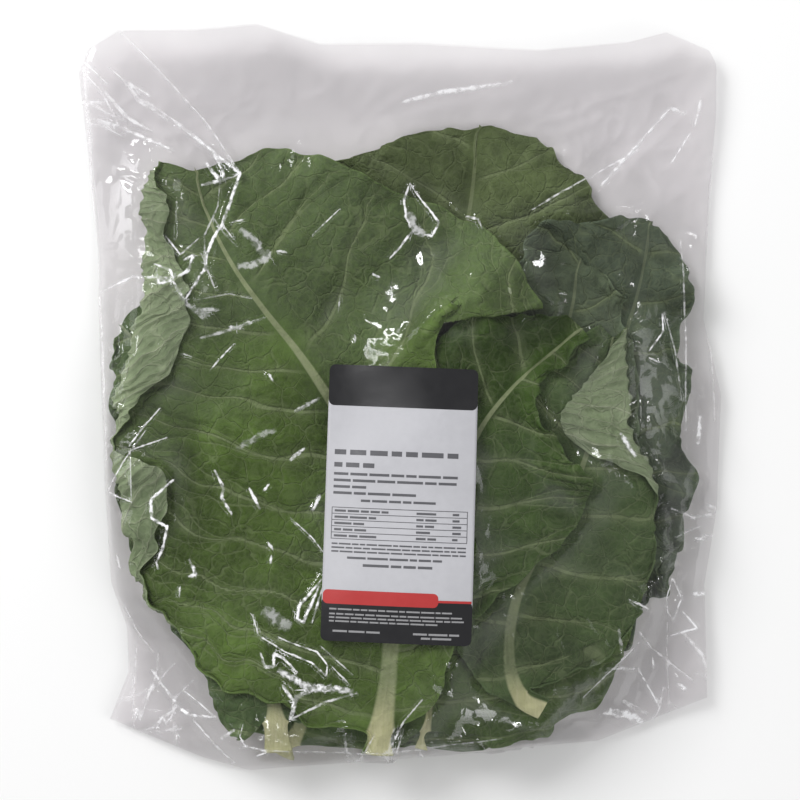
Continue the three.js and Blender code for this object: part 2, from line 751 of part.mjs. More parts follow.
// The front film is drawn tight from seam to seam over what the bag holds.
function frontFilm(back, field) {
  const held = field.spread(CELL);
  const needed = held.each((i, j) => held.cell(i, j) + CLEARANCE + FILM_WALL);
  const least = bagGrid((x, y, i, j) => {
    if (onSeam(i, j)) return back[i][j][2] + FILM_WALL;
    const open = i === BAG_ROWS ? MOUTH_OPEN * Math.sin((Math.PI * j) / BAG_COLUMNS) : 0;
    return back[i][j][2] + FILM_OPEN + open;
  });
  return drawTight(least, needed, {
    isFixed: onSeam,
    cutsOf: (i, j) => [cutFromSecond(i, j)],
    rounds: DRAW_ROUNDS,
  });
}

// The inside of one film: off it by its wall, and drawn in from the seams, where both films share it.
function insideOf(film, other, wall) {
  return film.map((row, i) =>
    row.map((point, j) => {
      if (!onSeam(i, j)) return [point[0], point[1], point[2] + wall];
      const nextRow = Math.max(i, 1);
      const nextColumn = clamp(j, 1, BAG_COLUMNS - 1);
      const inner = (grid) => mixPoint(grid[i][j], grid[nextRow][nextColumn], SEAM_INSET);
      return mixPoint(inner(film), inner(other), 0.5);
    }),
  );
}

function bagTriangles(front, back) {
  const triangles = [];
  const insideFront = insideOf(front, back, -FILM_WALL);
  const insideBack = insideOf(back, front, FILM_WALL);
  const facingDown = (triangle) => [...triangle].reverse();
  triangles.push(...cellTriangles(front), ...cellTriangles(insideBack));
  triangles.push(...cellTriangles(back).map(facingDown), ...cellTriangles(insideFront).map(facingDown));
  const wall = ([i, j], [k, l]) => {
    triangles.push(...quad(back[i][j], back[k][l], front[k][l], front[i][j]));
  };
  for (let j = 0; j < BAG_COLUMNS; j++) wall([0, j], [0, j + 1]);
  for (let i = 0; i < BAG_ROWS; i++) {
    wall([i, BAG_COLUMNS], [i + 1, BAG_COLUMNS]);
    wall([i + 1, 0], [i, 0]);
  }
  const end = BAG_ROWS;
  const lip = (outer, inner) => {
    for (let j = 0; j < BAG_COLUMNS; j++)
      triangles.push(...quad(outer[end][j], outer[end][j + 1], inner[end][j + 1], inner[end][j]));
  };
  lip(front, insideFront);
  lip(insideBack, back);
  triangles.push([back[end][0], front[end][0], insideFront[end][0]]);
  triangles.push([front[end][BAG_COLUMNS], back[end][BAG_COLUMNS], insideFront[end][BAG_COLUMNS]]);
  return triangles;
}

// The label

function labelTriangles(front) {
  const field = new HeightField(() => 0);
  field.raiseMesh(cellTriangles(front));
  const needed = field.each((i, j) => field.cell(i, j) + LABEL_GAP);
  const flat = [];
  for (let i = 0; i <= LABEL_ROWS; i++) {
    const row = [];
    for (let j = 0; j <= LABEL_COLUMNS; j++) {
      const s = j / LABEL_COLUMNS;
      const t = i / LABEL_ROWS;
      const point = mixPoint(mixPoint(LABEL[3], LABEL[2], s), mixPoint(LABEL[0], LABEL[1], s), t);
      const atCorner = i % LABEL_ROWS === 0 && j % LABEL_COLUMNS === 0;
      const corner = atCorner ? LABEL_CORNER : 0;
      const x = point[0] + (s < 0.5 ? corner : -corner);
      const y = point[1] + (t < 0.5 ? corner : -corner);
      row.push([x, y, needed.at(x, y)]);
    }
    flat.push(row);
  }
  const lower = drawTight(flat, needed, {
    isFixed: () => false,
    cutsOf: () => [false, true],
    rounds: LABEL_ROUNDS,
  });
  const upper = lower.map((row) => row.map(([x, y, z]) => [x, y, z + LABEL_THICK]));
  return sheetTriangles(upper, lower);
}

function meshOf(name, triangles, material) {
  const mesh = new THREE.Mesh(geometryOf(triangles), material);
  mesh.name = name;
  return mesh;
}

function buildBunch() {
  const bunch = new THREE.Group();
  const field = new HeightField((x, y) => backLift(x, y) + FILM_WALL);
  const back = bagGrid(backLift);
  field.raiseMesh(cellTriangles(back.map((row) => row.map(([x, y, z]) => [x, y, z + FILM_WALL]))));
  LEAVES.forEach((leaf) => {
    const triangles = leafTriangles(leaf, field);
    field.raiseMesh(triangles);
    bunch.add(meshOf(leaf.name, triangles, MATERIALS.leaf));
  });
  const front = frontFilm(back, field);
  bunch.add(meshOf("bag", bagTriangles(front, back), MATERIALS.film));
  bunch.add(meshOf("label", labelTriangles(front), MATERIALS.label));
  return bunch;
}

const group = buildBunch();

export default group;
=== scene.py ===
"""The looks of a bunch of flat kale leaves in a clear film bag: fine leaves, crumpled film, a label with rows
of plain dashes, a pale floor, studio light and the camera. Sizes are in millimetres until a mesh is made."""
import math

import bpy
import numpy as np
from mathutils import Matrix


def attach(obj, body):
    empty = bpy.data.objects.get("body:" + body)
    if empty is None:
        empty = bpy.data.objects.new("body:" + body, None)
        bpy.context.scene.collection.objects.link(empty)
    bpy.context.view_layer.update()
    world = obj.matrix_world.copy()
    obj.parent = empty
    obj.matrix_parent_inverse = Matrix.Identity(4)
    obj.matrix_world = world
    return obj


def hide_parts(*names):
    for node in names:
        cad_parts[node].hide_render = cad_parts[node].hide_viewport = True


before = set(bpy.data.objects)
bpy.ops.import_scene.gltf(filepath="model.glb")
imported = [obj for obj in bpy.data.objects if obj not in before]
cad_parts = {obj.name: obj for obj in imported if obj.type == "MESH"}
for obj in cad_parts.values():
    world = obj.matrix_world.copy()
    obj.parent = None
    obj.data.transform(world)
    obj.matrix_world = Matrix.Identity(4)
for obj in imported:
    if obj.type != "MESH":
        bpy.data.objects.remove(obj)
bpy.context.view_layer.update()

MM = 0.001
FLOOR_GAP = 0.05
SEED = 11

# Bag outline: the side edges run from the bottom seam to the mouth, the bottom and the mouth from -X to +X.
BAG_LEFT = [
    (-146.5, -161), (-137, -137), (-138, -114), (-146, -92), (-149.5, -39), (-151.5, 30), (-152.5, 75),
    (-157.5, 125), (-162, 165), (-157, 177),
]
BAG_RIGHT = [
    (155, -150), (153.5, -93), (160, -55), (162, 2), (153, 41), (156.5, 104), (159.5, 144), (159.5, 169),
    (156, 176),
]
BAG_BOTTOM = [
    (-146.5, -161), (-100, -180), (-76, -187), (-49, -185), (27.5, -179), (100, -172), (155, -150),
]
BAG_MOUTH = [
    (-157, 177), (-141.5, 186), (-102.5, 186), (-71.5, 189), (-40.5, 179), (10, 179), (70.5, 176),
    (115, 180), (134, 185), (156, 176),
]
BAG_HALF_WIDTH = 162
BAG_HALF_LENGTH = 187.5
BAG_COLUMNS = 25
BAG_ROWS = 29
FILM_WALL = 0.8
FILM_OPEN = 2.1
MOUTH_OPEN = 5
SEAM_CELL = 0.014
SEAM_LIFT = 6
FLAT_SHARE = 0.62  # of the way from the middle to a seam, the back film lies flat
BACK_WAVES = ((19, 1.1), (23, 0.4))  # length and phase of the back film's waves along X and Y
BACK_WAVE_SHARE = 0.3

# Leaf solids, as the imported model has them
BLADE = 0.7
CLEARANCE = 1.1
STALK_DEPTH = 5.2
WIDEST_STALK = 7
RUFFLE_REACH = 0.4
STALK_RISE = 1.6
RIB_TIP = 0.9
RIB_THINNING = 0.92
RIB_EDGE = 1.4  # half widths of the midrib at which the blade begins
STALK_END = 1.9  # the section step at which a stalk has turned into blade
COARSE_TIP = 0.12  # share of the blade at its tip where the coarse waves fade
FINE_TIP = 0.06
FOLD_RADIUS = 2.3

# Height grid
CELL = 3
GRID_HALF_X = 171
GRID_HALF_Y = 198
CELLS_X = 2 * GRID_HALF_X // CELL + 1
CELLS_Y = 2 * GRID_HALF_Y // CELL + 1
DRAPE_REACH = 15
DRAPE_SOFTEN = 2
COVER_REACH = 6  # a leaf keeps its frills and folds this far from the leaves that lie on it

# Side veins
MIDRIB_STEPS = 90
VEIN_LEAN = (0.05, 0.42)  # how far a side vein leans to the tip for each mm outward, at the base and the tip
VEIN_CURVE = 0.0026
BASE_FAN = 0.55
VEIN_BEND = 0.13
FORK_GAP = 0.34
VEIN_SHIFT = 0.35
SIDE_SHIFT = 0.37
SPACING_SHARE = 0.86

# Relief of the fine leaves. A pair is the height and the size of one layer of noise.
STALK_ROWS = 13
LOBES = ((2.0, 17, 3.3), (0.9, 46, 5.1))  # height, number along the blade, and shift between the two sides
MARGIN_WAVES = ((2.1, 12), (0.6, 5.5))
BLISTERS = ((1, 11), (0.45, 5))
CRUMPLES = ((1, 26), (0.6, 12))
FRILL_RISE = 1.3
PUCKER_RISE = 0.6
QUILT = 1.5
QUILT_WALL = 4.5  # how far from a vein the quilting has risen
QUILT_TOP = 8
QUILT_REACH = 14
VEIN_GROOVE = (0.4, 1.1)  # depth and half width on the upper side
VEIN_RIDGE = (0.5, 1.2)  # height and half width on the underside
CRUMPLE_MEAN = 0.9

# Leaf colours
BLOOM = (0.118, 0.150, 0.098)
UPPER_VEIN = (0.27, 0.33, 0.17)
UPPER_RIB = (0.40, 0.45, 0.26)
UNDER_DEEP = (0.215, 0.285, 0.150)
UNDER_LIGHT = (0.32, 0.40, 0.235)
UNDER_VEIN = (0.50, 0.56, 0.38)
UNDER_RIB = (0.56, 0.59, 0.40)
STALK_STREAKS = ((0.50, 0.52, 0.25), (0.76, 0.74, 0.48))

# Leaf texture: waves a metre, and for the two nets of veins cells a millimetre
PATCH_SCALE = 26
BROAD_SCALE = 8
SPECKLE_SCALE = 420
STREAK_SCALE = 900
ROUGH_SCALE = 70
GRAIN_SCALE = 800
RUMPLE_SCALE = 200
NET_SCALE = 0.085
MESH_SCALE = 0.3
NET_WARP = (0.11, 9)  # waves a millimetre and reach of the bends in the nets

# Leaves in the order they lie, the lowest first. cut is the middle of the stalk's end, stalk is half its
# width, ruffle is the height, number and phase of the margin's waves, and columns are those of half a coarse
# leaf. A section holds the midrib, the left and the right margin (x, y each), and where a margin is turned
# over, how much of the left and of the right one is. For the fine leaf: its upper colour, how plain its
# midrib shows, how thick the pale waxy bloom is at its base and its tip, how frilled its margin is, how deep
# it is crumpled, its mesh rows and columns, and its side veins by their number or by where they leave the
# midrib, from the base of the blade.
LEAVES = [
    dict(
        name="leaf_top_back", cut=(0, -169), stalk=6, ruffle=(4, 6.5, 0.4), columns=5,
        sections=[
            (1, -158, -3.5, -158, 5.5, -158), (-1, -125, -50, -150, 40, -150),
            (0, -70, -92.5, -105, 85, -100), (10, -10, -105, -25, 116, -25), (25, 50, -92.5, 55, 120, 50),
            (35, 95, -50, 110, 101, 97), (40, 139, 10, 133, 68.5, 135),
        ],
        green=(0.088, 0.124, 0.038), rib=0.35, bloom=(0.3, 0.15), frill=1.6, crumple=2.4, fine_rows=280,
        fine_columns=110, veins=10,
    ),
    dict(
        name="leaf_left_back", cut=(-35, -171), stalk=5.5, ruffle=(3.5, 6, 2.1), columns=4,
        sections=[
            (-39, -158, -43.5, -158, -34.5, -157), (-51, -133, -82.5, -153, -20, -140),
            (-70, -90, -116, -106, -15, -80), (-90, -45, -138, -65, -30, -20),
            (-112.5, -5, -143, -20, -65, 35), (-129, 25, -145, 12, -105, 55),
            (-142, 38, -145.5, 30, -136, 43),
        ],
        green=(0.066, 0.112, 0.036), rib=0.6, bloom=(0.1, 0.1), frill=1.3, crumple=1.4, fine_rows=180,
        fine_columns=70, veins=8,
    ),
    dict(
        name="leaf_right_frilled", cut=(35, -170), stalk=5.5, ruffle=(7, 8, 1.3), columns=4,
        sections=[
            (37, -156, 33, -157, 41.5, -156), (46, -128, 20, -145, 85, -150),
            (62.5, -85, 20, -85, 125, -104), (82.5, -40, 30, -15, 141.5, -70), (102.5, 5, 45, 55, 143, -15),
            (117.5, 47, 72.5, 87, 140.5, 37), (127.5, 90, 112.5, 93, 138.5, 81),
        ],
        green=(0.07, 0.104, 0.06), rib=0.3, bloom=(0.3, 0.6), frill=2.0, crumple=3.4, fine_rows=300,
        fine_columns=90, veins=9,
    ),
    dict(
        name="leaf_bottom", cut=(-58, -179), stalk=5, ruffle=(3, 5, 3.3), columns=4,
        sections=[
            (-54.5, -171, -59.5, -169, -49.5, -173), (-46, -152, -87.5, -162, 0, -174),
            (-32.5, -110, -92.5, -120, 52.5, -168), (-17.5, -60, -80, -55, 80, -110),
            (-2.5, -10, -50, 5, 75, -35), (12.5, 35, -2.5, 37, 30, 32),
        ],
        green=(0.046, 0.096, 0.014), rib=0.8, bloom=(0, 0), frill=1.2, crumple=2.4, fine_rows=160,
        fine_columns=70, veins=7,
    ),
    dict(
        name="leaf_upper_right", cut=(52.5, -165), stalk=4.5, ruffle=(5, 6, 5.2), columns=4,
        sections=[
            (51.5, -151, 47.5, -152, 56, -152), (48.5, -120, 15, -133, 85, -130),
            (54, -70, 10, -73, 112.5, -83), (67.5, -15, 15, 0, 121, -20), (82.5, 30, 40, 55, 117, 35),
            (91, 70, 73.5, 75, 106, 60),
        ],
        green=(0.1, 0.142, 0.078), rib=0.5, bloom=(0.3, 0.6), frill=1.8, crumple=2.8, fine_rows=240,
        fine_columns=90, veins=7,
    ),
    dict(
        name="leaf_lower_left", cut=(-60.5, -175), stalk=7, ruffle=(3, 5, 0.9), columns=4,
        sections=[
            (-62, -159, -69, -161, -55, -160), (-64.5, -140, -83, -170, -37.5, -161),
            (-71, -110, -98, -136, -20, -120), (-80, -70, -122, -96, -25, -60),
            (-89, -30, -127.5, -40, -50, -10), (-96, 7, -117.5, 7, -77.5, 12),
        ],
        green=(0.07, 0.126, 0.036), rib=0.8, bloom=(0.2, 0.2), frill=1.2, crumple=2.0, fine_rows=170,
        fine_columns=60, veins=7,
    ),
    dict(
        name="leaf_lower_right", cut=(10.5, -174), stalk=3.2, ruffle=(3.5, 6, 4.4), columns=4,
        sections=[
            (12.5, -164, 9.5, -165, 15.5, -165), (16.5, -140, -4, -169, 54, -169),
            (23.5, -105, -15, -130, 95, -152), (37.5, -70, -7.5, -80, 116, -114),
            (57.5, -38, 10, -35, 126, -70), (80, -10, 50, 0, 106, -15),
        ],
        green=(0.052, 0.098, 0.013), rib=0.45, bloom=(0.1, 0.1), frill=1.4, crumple=3.2, fine_rows=220,
        fine_columns=90, veins=6,
    ),
    dict(
        name="leaf_right_folded", cut=(70.5, -154), stalk=4.5, ruffle=(3, 6, 2.7), columns=4,
        sections=[
            (60.5, -148, 57.5, -152, 63.5, -144, 0, 3), (54, -128, 34, -134, 81, -137, 0, 3),
            (57.5, -100, 25, -100, 106, -120, 0, 3), (70, -73, 30, -60, 122.5, -86, 0, 3),
            (86, -45, 45, -15, 127.5, -50, 0, 4), (96, -18, 60, 10, 114, -19, 0, 38),
            (103, 7, 80, 27, 112, 9, 0, 30), (107, 32, 100, 37, 111, 36, 0, 8),
        ],
        green=(0.05, 0.092, 0.02), rib=0.6, bloom=(0.15, 0.2), frill=1.0, crumple=1.4, fine_rows=220,
        fine_columns=80, veins=7,
    ),
    dict(
        name="leaf_front_right", cut=(23.5, -120), stalk=3, ruffle=(2.5, 5, 0.2), columns=4,
        sections=[
            (24.5, -111, 21.5, -112, 27.5, -112), (26, -88, 0, -100, 52.5, -96),
            (28, -60, -7.5, -65, 81, -70), (32, -34, -5, -25, 94, -45), (41, -13, 5, 10, 84, -25),
            (56, 6, 27.5, 37, 69, -5), (74, 22, 57.5, 44, 80, 17), (91, 36, 84, 41, 94, 31),
        ],
        green=(0.04, 0.084, 0.008), rib=0.8, bloom=(0.05, 0), frill=1.0, crumple=1.8, fine_rows=220,
        fine_columns=80, veins=7,
    ),
    dict(
        name="leaf_front", cut=(-10, -176), stalk=6.8, ruffle=(2.5, 7, 1.6), columns=6,
        sections=[
            (-9.5, -163, -16, -164, -3, -164, 3, 0), (-5, -128, -50, -157, 18, -147, 3, 0),
            (-4, -88, -97, -132, 28, -105, 3, 0), (-12, -46, -129, -88, 29, -45, 9, 0),
            (-27.5, -13, -138, -50, 20, 30, 30, 0), (-39, 6, -141, -23, 44, 56, 6, 0),
            (-52, 25, -139, 2, 69, 49, 22, 0), (-69, 46, -130, 41, 50, 79, 32, 0),
            (-84, 67, -128, 75, 0, 106, 22, 0), (-96, 91, -125, 102, -50, 125, 12, 0),
            (-104, 118, -117, 121, -89, 121, 3, 0),
        ],
        green=(0.09, 0.156, 0.024), rib=1.0, bloom=(0.05, 0.65), frill=1.5, crumple=1.3, fine_rows=340,
        fine_columns=140, left_lean=0.85, right_lean=0.36,
        left_veins=(-20, 5, 28, 55, 82, 108, 136, 163, 186, 211, 234, 256, 275, 292, 308),
        right_veins=(-20, 10, 40, 75, 112, 154, 195, 241, 268, 290, 310),
    ),
]
for leaf_row in LEAVES:
    leaf_row["sections"] = [(*row, 0, 0)[:8] for row in leaf_row["sections"]]

# Fine film mesh
FILM_COLUMNS = 440
FILM_ROWS = 510
FILM_ROUNDS = 700
BACK_STEP = 4  # the back film keeps every fourth point
FILM_GAP = 1.0
SEAM_GAP = 0.25
SEAM_SHARE = 0.02  # of the bag's size, the film is smooth beside a seam
LOOSE_RANGE = (0.5, 4)  # how far off the leaves the film begins to hang free, and hangs free
FILM_FOLDS = ((1.3, 34), (0.6, 15))
FILM_RIPPLE = (0.45, 7)
FILM_CRUMPLES = ((2.6, 19), (1.3, 9))
RANDOM_CREASES = 36
RANDOM_GLINTS = 9  # in each crumpled zone
GLINT_REACH = 3.5  # half widths from a crease at which its painted highlight has faded

# Film surface
FILM_TINT = (0.944, 0.934, 0.939)
FILM_HAZE = (0.008, 0.075)
FILM_GLOSS = (0.92, 0.92, 0.94)
HAZE_SCALE = 17
FOLD_SCALE = 45
WRINKLE_SCALE = 150
BREAK_SCALE = 260
RAGGED_SCALE = 420
# painted highlight: the white that the film's sharp creases are painted with
PAINTED_GLINT_WHITE = (0.95, 0.95, 0.97)

# Sharp creases of the front film, which catch the light and also carry painted highlights: half width, how
# bright, and the points (x, y each).
FRONT_GLINTS = [
    (0.45, 0.55, -140, 184.8, -125, 169.8, -97.5, 139.8, -80, 113.8),
    (0.5, 0.6, -161, 167.2, -150, 154.8, -141, 137.2),
    (0.45, 0.4, -152.5, 183.8, -160, 169.8, -157, 144.8, -155, 124.8),
    (0.45, 0.5, -130, 152.2, -105, 134.8, -81, 114.2), (1, 0.9, -97.5, 119.2, -90.5, 110.2, -99.5, 108.2),
    (0.8, 1.0, -113.5, 139.8, -95, 125.8, -80.5, 113.8, -89.5, 87.8, -94, 81.2, -97, 72.8, -97.5, 66.2,
     -107, 50.8),
    (0.6, 0.8, -95, 125.8, -89, 114.8, -88.5, 110.8, -80.5, 113.8),
    (0.5, 0.8, -117.5, 82.2, -110, 72.8, -101, 81.2),
    (0.7, 0.9, -123, 68.2, -114.5, 64.8, -113.5, 59.8, -120.5, 58.2, -122, 64.8),
    (0.8, 1.0, -113.5, 59.2, -108, 50.2), (0.9, 0.9, -108, 70.2, -103.5, 72.8, -106, 64.8, -111, 61.8),
    (0.45, 0.7, -89, 87.8, -83.5, 80.8),
    (2, 0.42, -80, 85.8, -73.5, 80.2, -69, 73.8, -65.5, 72.8, -73.5, 67.8, -81, 67.2),
    (0.6, 0.8, -85, 89.2, -78.5, 90.8), (0.4, 0.75, -44, 82.8, -30.5, 95.8),
    (0.65, 0.85, 5, 108.8, 2, 100.8, 3, 91.8, 6.5, 85.2, 0, 76.8, -5, 71.2),
    (0.6, 0.85, 5, 108.8, 10.5, 100.8, 16, 94.2, 19.5, 88.8, 16, 82.2, 6.5, 84.2),
    (2.4, 0.45, 4.5, 93.8, 7, 86.8, 12, 82.8), (0.6, 0.9, 33.5, 92.2, 39, 90.8, 41, 86.2),
    (1.2, 0.6, 2, 150.2, 20, 154.8, 44, 157.8, 56, 159.8),
    (0.7, 0.75, 100.5, 107.2, 120, 128.8, 135.5, 146.2), (0.45, 0.5, 96, 112.2, 107, 118.8, 120, 125.8),
    (0.5, 0.5, 66, 95.2, 80, 103.8, 94, 111.8), (0.5, 0.8, 146, 134.2, 137, 119.8),
    (0.8, 0.7, 151.5, 151.2, 148.5, 138.2), (1.2, 0.7, 136, 146.8, 143, 144.8),
    (0.5, 0.9, 131, 43.2, 131.5, 34.2, 124.5, 24.8), (0.5, 0.9, 124.5, 20.8, 130, 18.8),
    (0.45, 0.35, 132, 44.2, 137.5, 24.8, 141, -0.2), (1.2, 0.75, 109.5, -16.8, 116.5, -27.8),
    (1.1, 0.8, 150.5, -8.2, 149.5, -21.8), (0.8, 0.9, 148, -69.2, 153, -70.2),
    (1.3, 1.0, 147.5, -97.2, 154, -97.8),
    (0.45, 0.8, 136, -89.2, 133, -99.2, 134, -106.2, 137, -110.2, 141, -99.2, 136.5, -89.8),
    (0.6, 0.9, 142, -106.2, 149.5, -114.8, 136, -118.2),
    (0.5, 0.8, 119, -134.2, 131, -154.8, 125.5, -165.8), (0.6, 0.8, 126.5, -129.2, 127.5, -135.2),
    (2.2, 0.9, 105, -155.8, 114, -158.2, 122.5, -162.8), (0.9, 0.7, 102, -156.8, 112, -157.2),
    (0.45, 0.45, 91, -147.8, 105, -134.2, 119, -120.8), (0.8, 0.8, 140, -142.8, 144, -145.2),
    (0.4, 0.35, 134, -111.2, 134, -124.8, 136, -159.8),
    (0.45, 0.7, -127, -15.2, -137, -29.2, -146.5, -45.2), (0.4, 0.4, -134.5, -25.2, -134, -50.8),
    (0.5, 0.8, -146.5, -46.2, -134, -50.8),
    (0.8, 0.95, -113, -39.8, -124, -49.8, -124, -58.8, -116, -63.2, -118, -73.2, -121.5, -81.2, -120.5,
     -84.2),
    (1, 0.95, -105, -79.8, -101.5, -86.8, -105, -87.8), (0.6, 0.8, -109.5, -93.2, -110, -97.8),
    (0.8, 0.8, -92.5, -35.2, -88, -44.2, -89, -48.8, -84, -56.8), (0.8, 0.95, -75, -44.2, -70, -54.2),
    (0.7, 0.9, -68, -45.2, -65.5, -42.2), (1, 0.95, -54.5, -29.8, -48, -24.2),
    (1.6, 0.3, -81, -24.2, -69, -17.2, -62.5, -15.2), (0.9, 0.8, -40, -47.8, -43.5, -55.2),
    (0.4, 0.7, -54.5, -58.8, -43.5, -68.8, -38.5, -75.2), (0.7, 0.8, -65.5, -71.2, -63.5, -74.2),
    (0.7, 0.8, -64, -77.8, -64.5, -81.2),
    (0.8, 0.95, -39, -89.2, -50, -102.2, -51, -108.8, -48, -110.2, -43.5, -100.2, -40, -92.2),
    (0.5, 0.8, -38.5, -93.2, -43.5, -110.2),
    (0.5, 0.85, -73.5, -106.8, -70, -116.8, -57, -124.8, -43.5, -130.2, -36.5, -136.8, -36, -131.2,
     -41, -124.8, -54.5, -120.2, -60, -117.8),
    (0.45, 0.6, -39, -122.2, -23.5, -135.8), (0.45, 0.6, -33.5, -132.2, -24.5, -141.2),
    (0.8, 0.95, -69, -125.8, -67, -132.2, -62.5, -132.2, -62.5, -125.8, -58, -127.8, -54.5, -131.2,
     -51, -134.8),
    (1.8, 0.9, -60, -133.8, -45.5, -142.2, -23.5, -143.8),
    (1.2, 0.95, -54.5, -158.2, -51, -146.8, -43.5, -143.8), (0.9, 0.9, -58, -141.2, -52.5, -149.2),
    (3.2, 0.3, -68, -104.8, -61, -109.2, -54.5, -112.2),
    (0.8, 0.85, -125, -135.8, -110.5, -154.8, -106, -157.8, -91.5, -157.8),
    (0.5, 0.8, -108, -145.8, -100, -151.2, -91.5, -157.8),
    (0.6, 0.85, -132.5, -168.2, -121.5, -163.8, -119.5, -159.2, -118, -162.8, -112.5, -156.8),
    (1, 0.9, -132.5, -155.8, -131, -161.2), (0.6, 0.7, -103.5, -160.2, -93.5, -171.2, -83.5, -182.8),
    (1, 0.6, -82.5, -163.8, -89, -168.8),
    (0.5, 0.9, -78, -161.2, -79.5, -167.2, -77, -171.8, -65.5, -174.8, -71.5, -177.2),
    (0.6, 0.5, -142.5, -77.8, -140.5, -84.2), (0.4, 0.45, -139.5, -102.2, -132.5, -115.8, -124, -126.8),
    (0.4, 0.4, -132.5, -122.2, -134, -143.8, -134.5, -168.2),
    (0.5, 0.8, -135, -22.8, -127.5, -12.8, -120, -4.2), (0.45, 0.6, -135, -25.2, -116.5, -18.8),
    (0.45, 0.75, -95, 14.8, -90.5, 20.2, -83, 28.2), (0.45, 0.6, -109, 23.2, -104.5, 21.8),
    (0.9, 0.8, -85, 36.8, -80, 35.8), (0.6, 0.8, -77.5, 38.8, -74, 38.8),
    (0.8, 0.8, -13.5, 63.2, -10.5, 61.8), (0.6, 0.7, -22.5, 32.2, -22.5, 29.2),
    (0.4, 0.5, -31, 44.2, -30, 53.2), (0.6, 0.7, -61.5, 74.8, -57, 74.2),
    (0.8, 0.8, -65.5, 12.8, -63.5, 9.8), (1, 0.5, -52.5, -5.8, -40.5, 0.8),
    (0.5, 0.35, -80, -172.8, -35, -176.2, 10, -173.8, 50, -167.8), (0.5, 0.4, 141, 80, 143, 32, 143, -15),
    (0.5, 0.5, 157.5, 125, 155.5, 50, 158.5, -10), (0.5, 0.45, -159, 160, -155, 100, -150, 30, -147, -30),
]

# Soft folds of the films: height, half width, and the points (x, y each).
FRONT_CREASES = [
    (1.6, 2.6, -140, 185, -110, 150, -80, 112), (1.4, 2.4, -161, 167, -150, 150, -141, 137),
    (1.2, 2.2, -130, 152, -104, 133, -80, 115), (1.2, 1.8, -80, 112, -86, 100, -91, 85, -97, 62, -104, 52),
    (1.5, 2.6, 157, 170, 128, 138, 100, 107), (0.9, 2.4, 150, 178, 110, 160, 80, 150),
    (0.9, 2.8, 2, 150, 30, 155, 55, 160), (1.3, 2.2, -56, -128, -40, -148, -26, -156, -14, -160),
    (1.2, 2.4, -140, -165, -118, -140, -108, -122), (1.2, 2.2, -146, -150, -125, -155, -105, -158),
    (1.4, 2.8, 150, -148, 130, -128, 118, -112), (1.0, 2.6, 98, -168, 112, -140, 120, -120),
    (0.9, 2.4, 146, -152, 147, -100, 150, -40), (0.8, 1.8, -80, -173, 0, -172, 50, -168, 120, -158),
    (0.8, 1.8, 48, -100, 60, -128, 66, -150), (0.9, 2.0, 75, -90, 100, -120, 128, -140),
    (0.9, 2.0, 60, 118, 90, 100, 115, 96, 140, 110),
]
BACK_CREASES = [
    (0.7, 3.0, -150, 175, -110, 120, -60, 60), (0.7, 3.0, 150, 170, 100, 100, 70, 40),
    (0.7, 3.0, -140, -150, -90, -90, -40, -50), (0.7, 3.0, 145, -140, 90, -90, 30, -40),
    (0.5, 2.4, -60, 180, -30, 120, 10, 60),
]

# Where the film is crumpled most: x, y and reach.
CRUMPLED = [
    (-122, -150, 42), (128, -138, 46), (-132, 135, 44), (150, -60, 28), (-20, -172, 40), (-95, 60, 30),
]

# Label corners, from the top left, clockwise
LABEL = [(-35, 18), (39, 15), (35, -121), (-39.5, -119)]
LABEL_WIDTH = 75.0
LABEL_LENGTH = 137.5
PAPER_DEPTH = 0.3
PAPER_GAP = 0.35
FIELD_LEVEL = 0.05  # how far the printed colours stand off the paper, so that none hides another
DASH_LEVEL = 0.06
TOP_LEVEL = 0.1
CORNER_STEPS = 7
PATCH_STEP = 1.5

# Printed fields: left, low, right, top and corner radius, from the label's lower left corner
PAPER = (0, 0, LABEL_WIDTH, LABEL_LENGTH, 3)
HEADER = (0, 117, LABEL_WIDTH, LABEL_LENGTH, 3)
FOOTER = (0, 0, LABEL_WIDTH, 22, 3)
BAND = [(0.5, 18.5, 58, 25.5, 2.5), (56, 21, LABEL_WIDTH - 0.5, 22.2, 0)]

# Label colours, and how rough each is
LABEL_INKS = {
    "white": ((0.50, 0.50, 0.53), 0.38),
    "black": ((0.012, 0.012, 0.014), 0.3),
    "red": ((0.45, 0.035, 0.035), 0.38),
    "grey": ((0.10, 0.10, 0.11), 0.38),
    "pale": ((0.30, 0.30, 0.31), 0.38),
}

# Rows of plain dashes on the label: height on it, thickness, left and right end, and the shortest and the
# longest dash in thicknesses.
UPPER_ROWS = [
    (92.6, 2.5, 4, 67, 2, 4.5), (86.4, 2.3, 4, 29, 1.6, 3), (82.4, 1.3, 4, 66, 3, 10),
    (79.2, 1.3, 4, 70, 3, 10), (76.0, 1.3, 4, 22, 3, 10), (72.9, 1.3, 4, 50, 3, 10),
    (69.4, 1.2, 18, 58, 3, 10),
]
LOWER_ROWS = [
    (47.9, 0.8, 4, 71, 3, 9), (46.0, 0.8, 4, 71, 3, 9), (44.1, 0.8, 4, 71, 3, 9), (41.0, 1.1, 12, 62, 3, 10),
    (37.4, 1.3, 20, 55, 3, 10),
]
FOOTER_ROWS = [
    (15.6, 0.8, 4, 66, 3, 9), (13.2, 0.8, 4, 70, 3, 9), (11.4, 0.8, 4, 71, 3, 9), (9.6, 0.8, 4, 58, 3, 9),
    (4.6, 1.0, 6, 30, 3, 10), (4.6, 1.0, 46, 70, 3, 10), (2.6, 1.0, 50, 68, 3, 10),
]
DASH_GAP = 0.8
# The ruled box between them: its sides, the height of a row, the thickness of a line and of a dash, and where
# the first dashes of each row end.
BOX_LEFT = 3.5
BOX_LOW = 50.6
BOX_RIGHT = 71.5
BOX_ROW = 3.1
BOX_LINE = 0.35
BOX_DASH = 1.1
BOX_ENDS = (28, 24, 20, 26, 32)

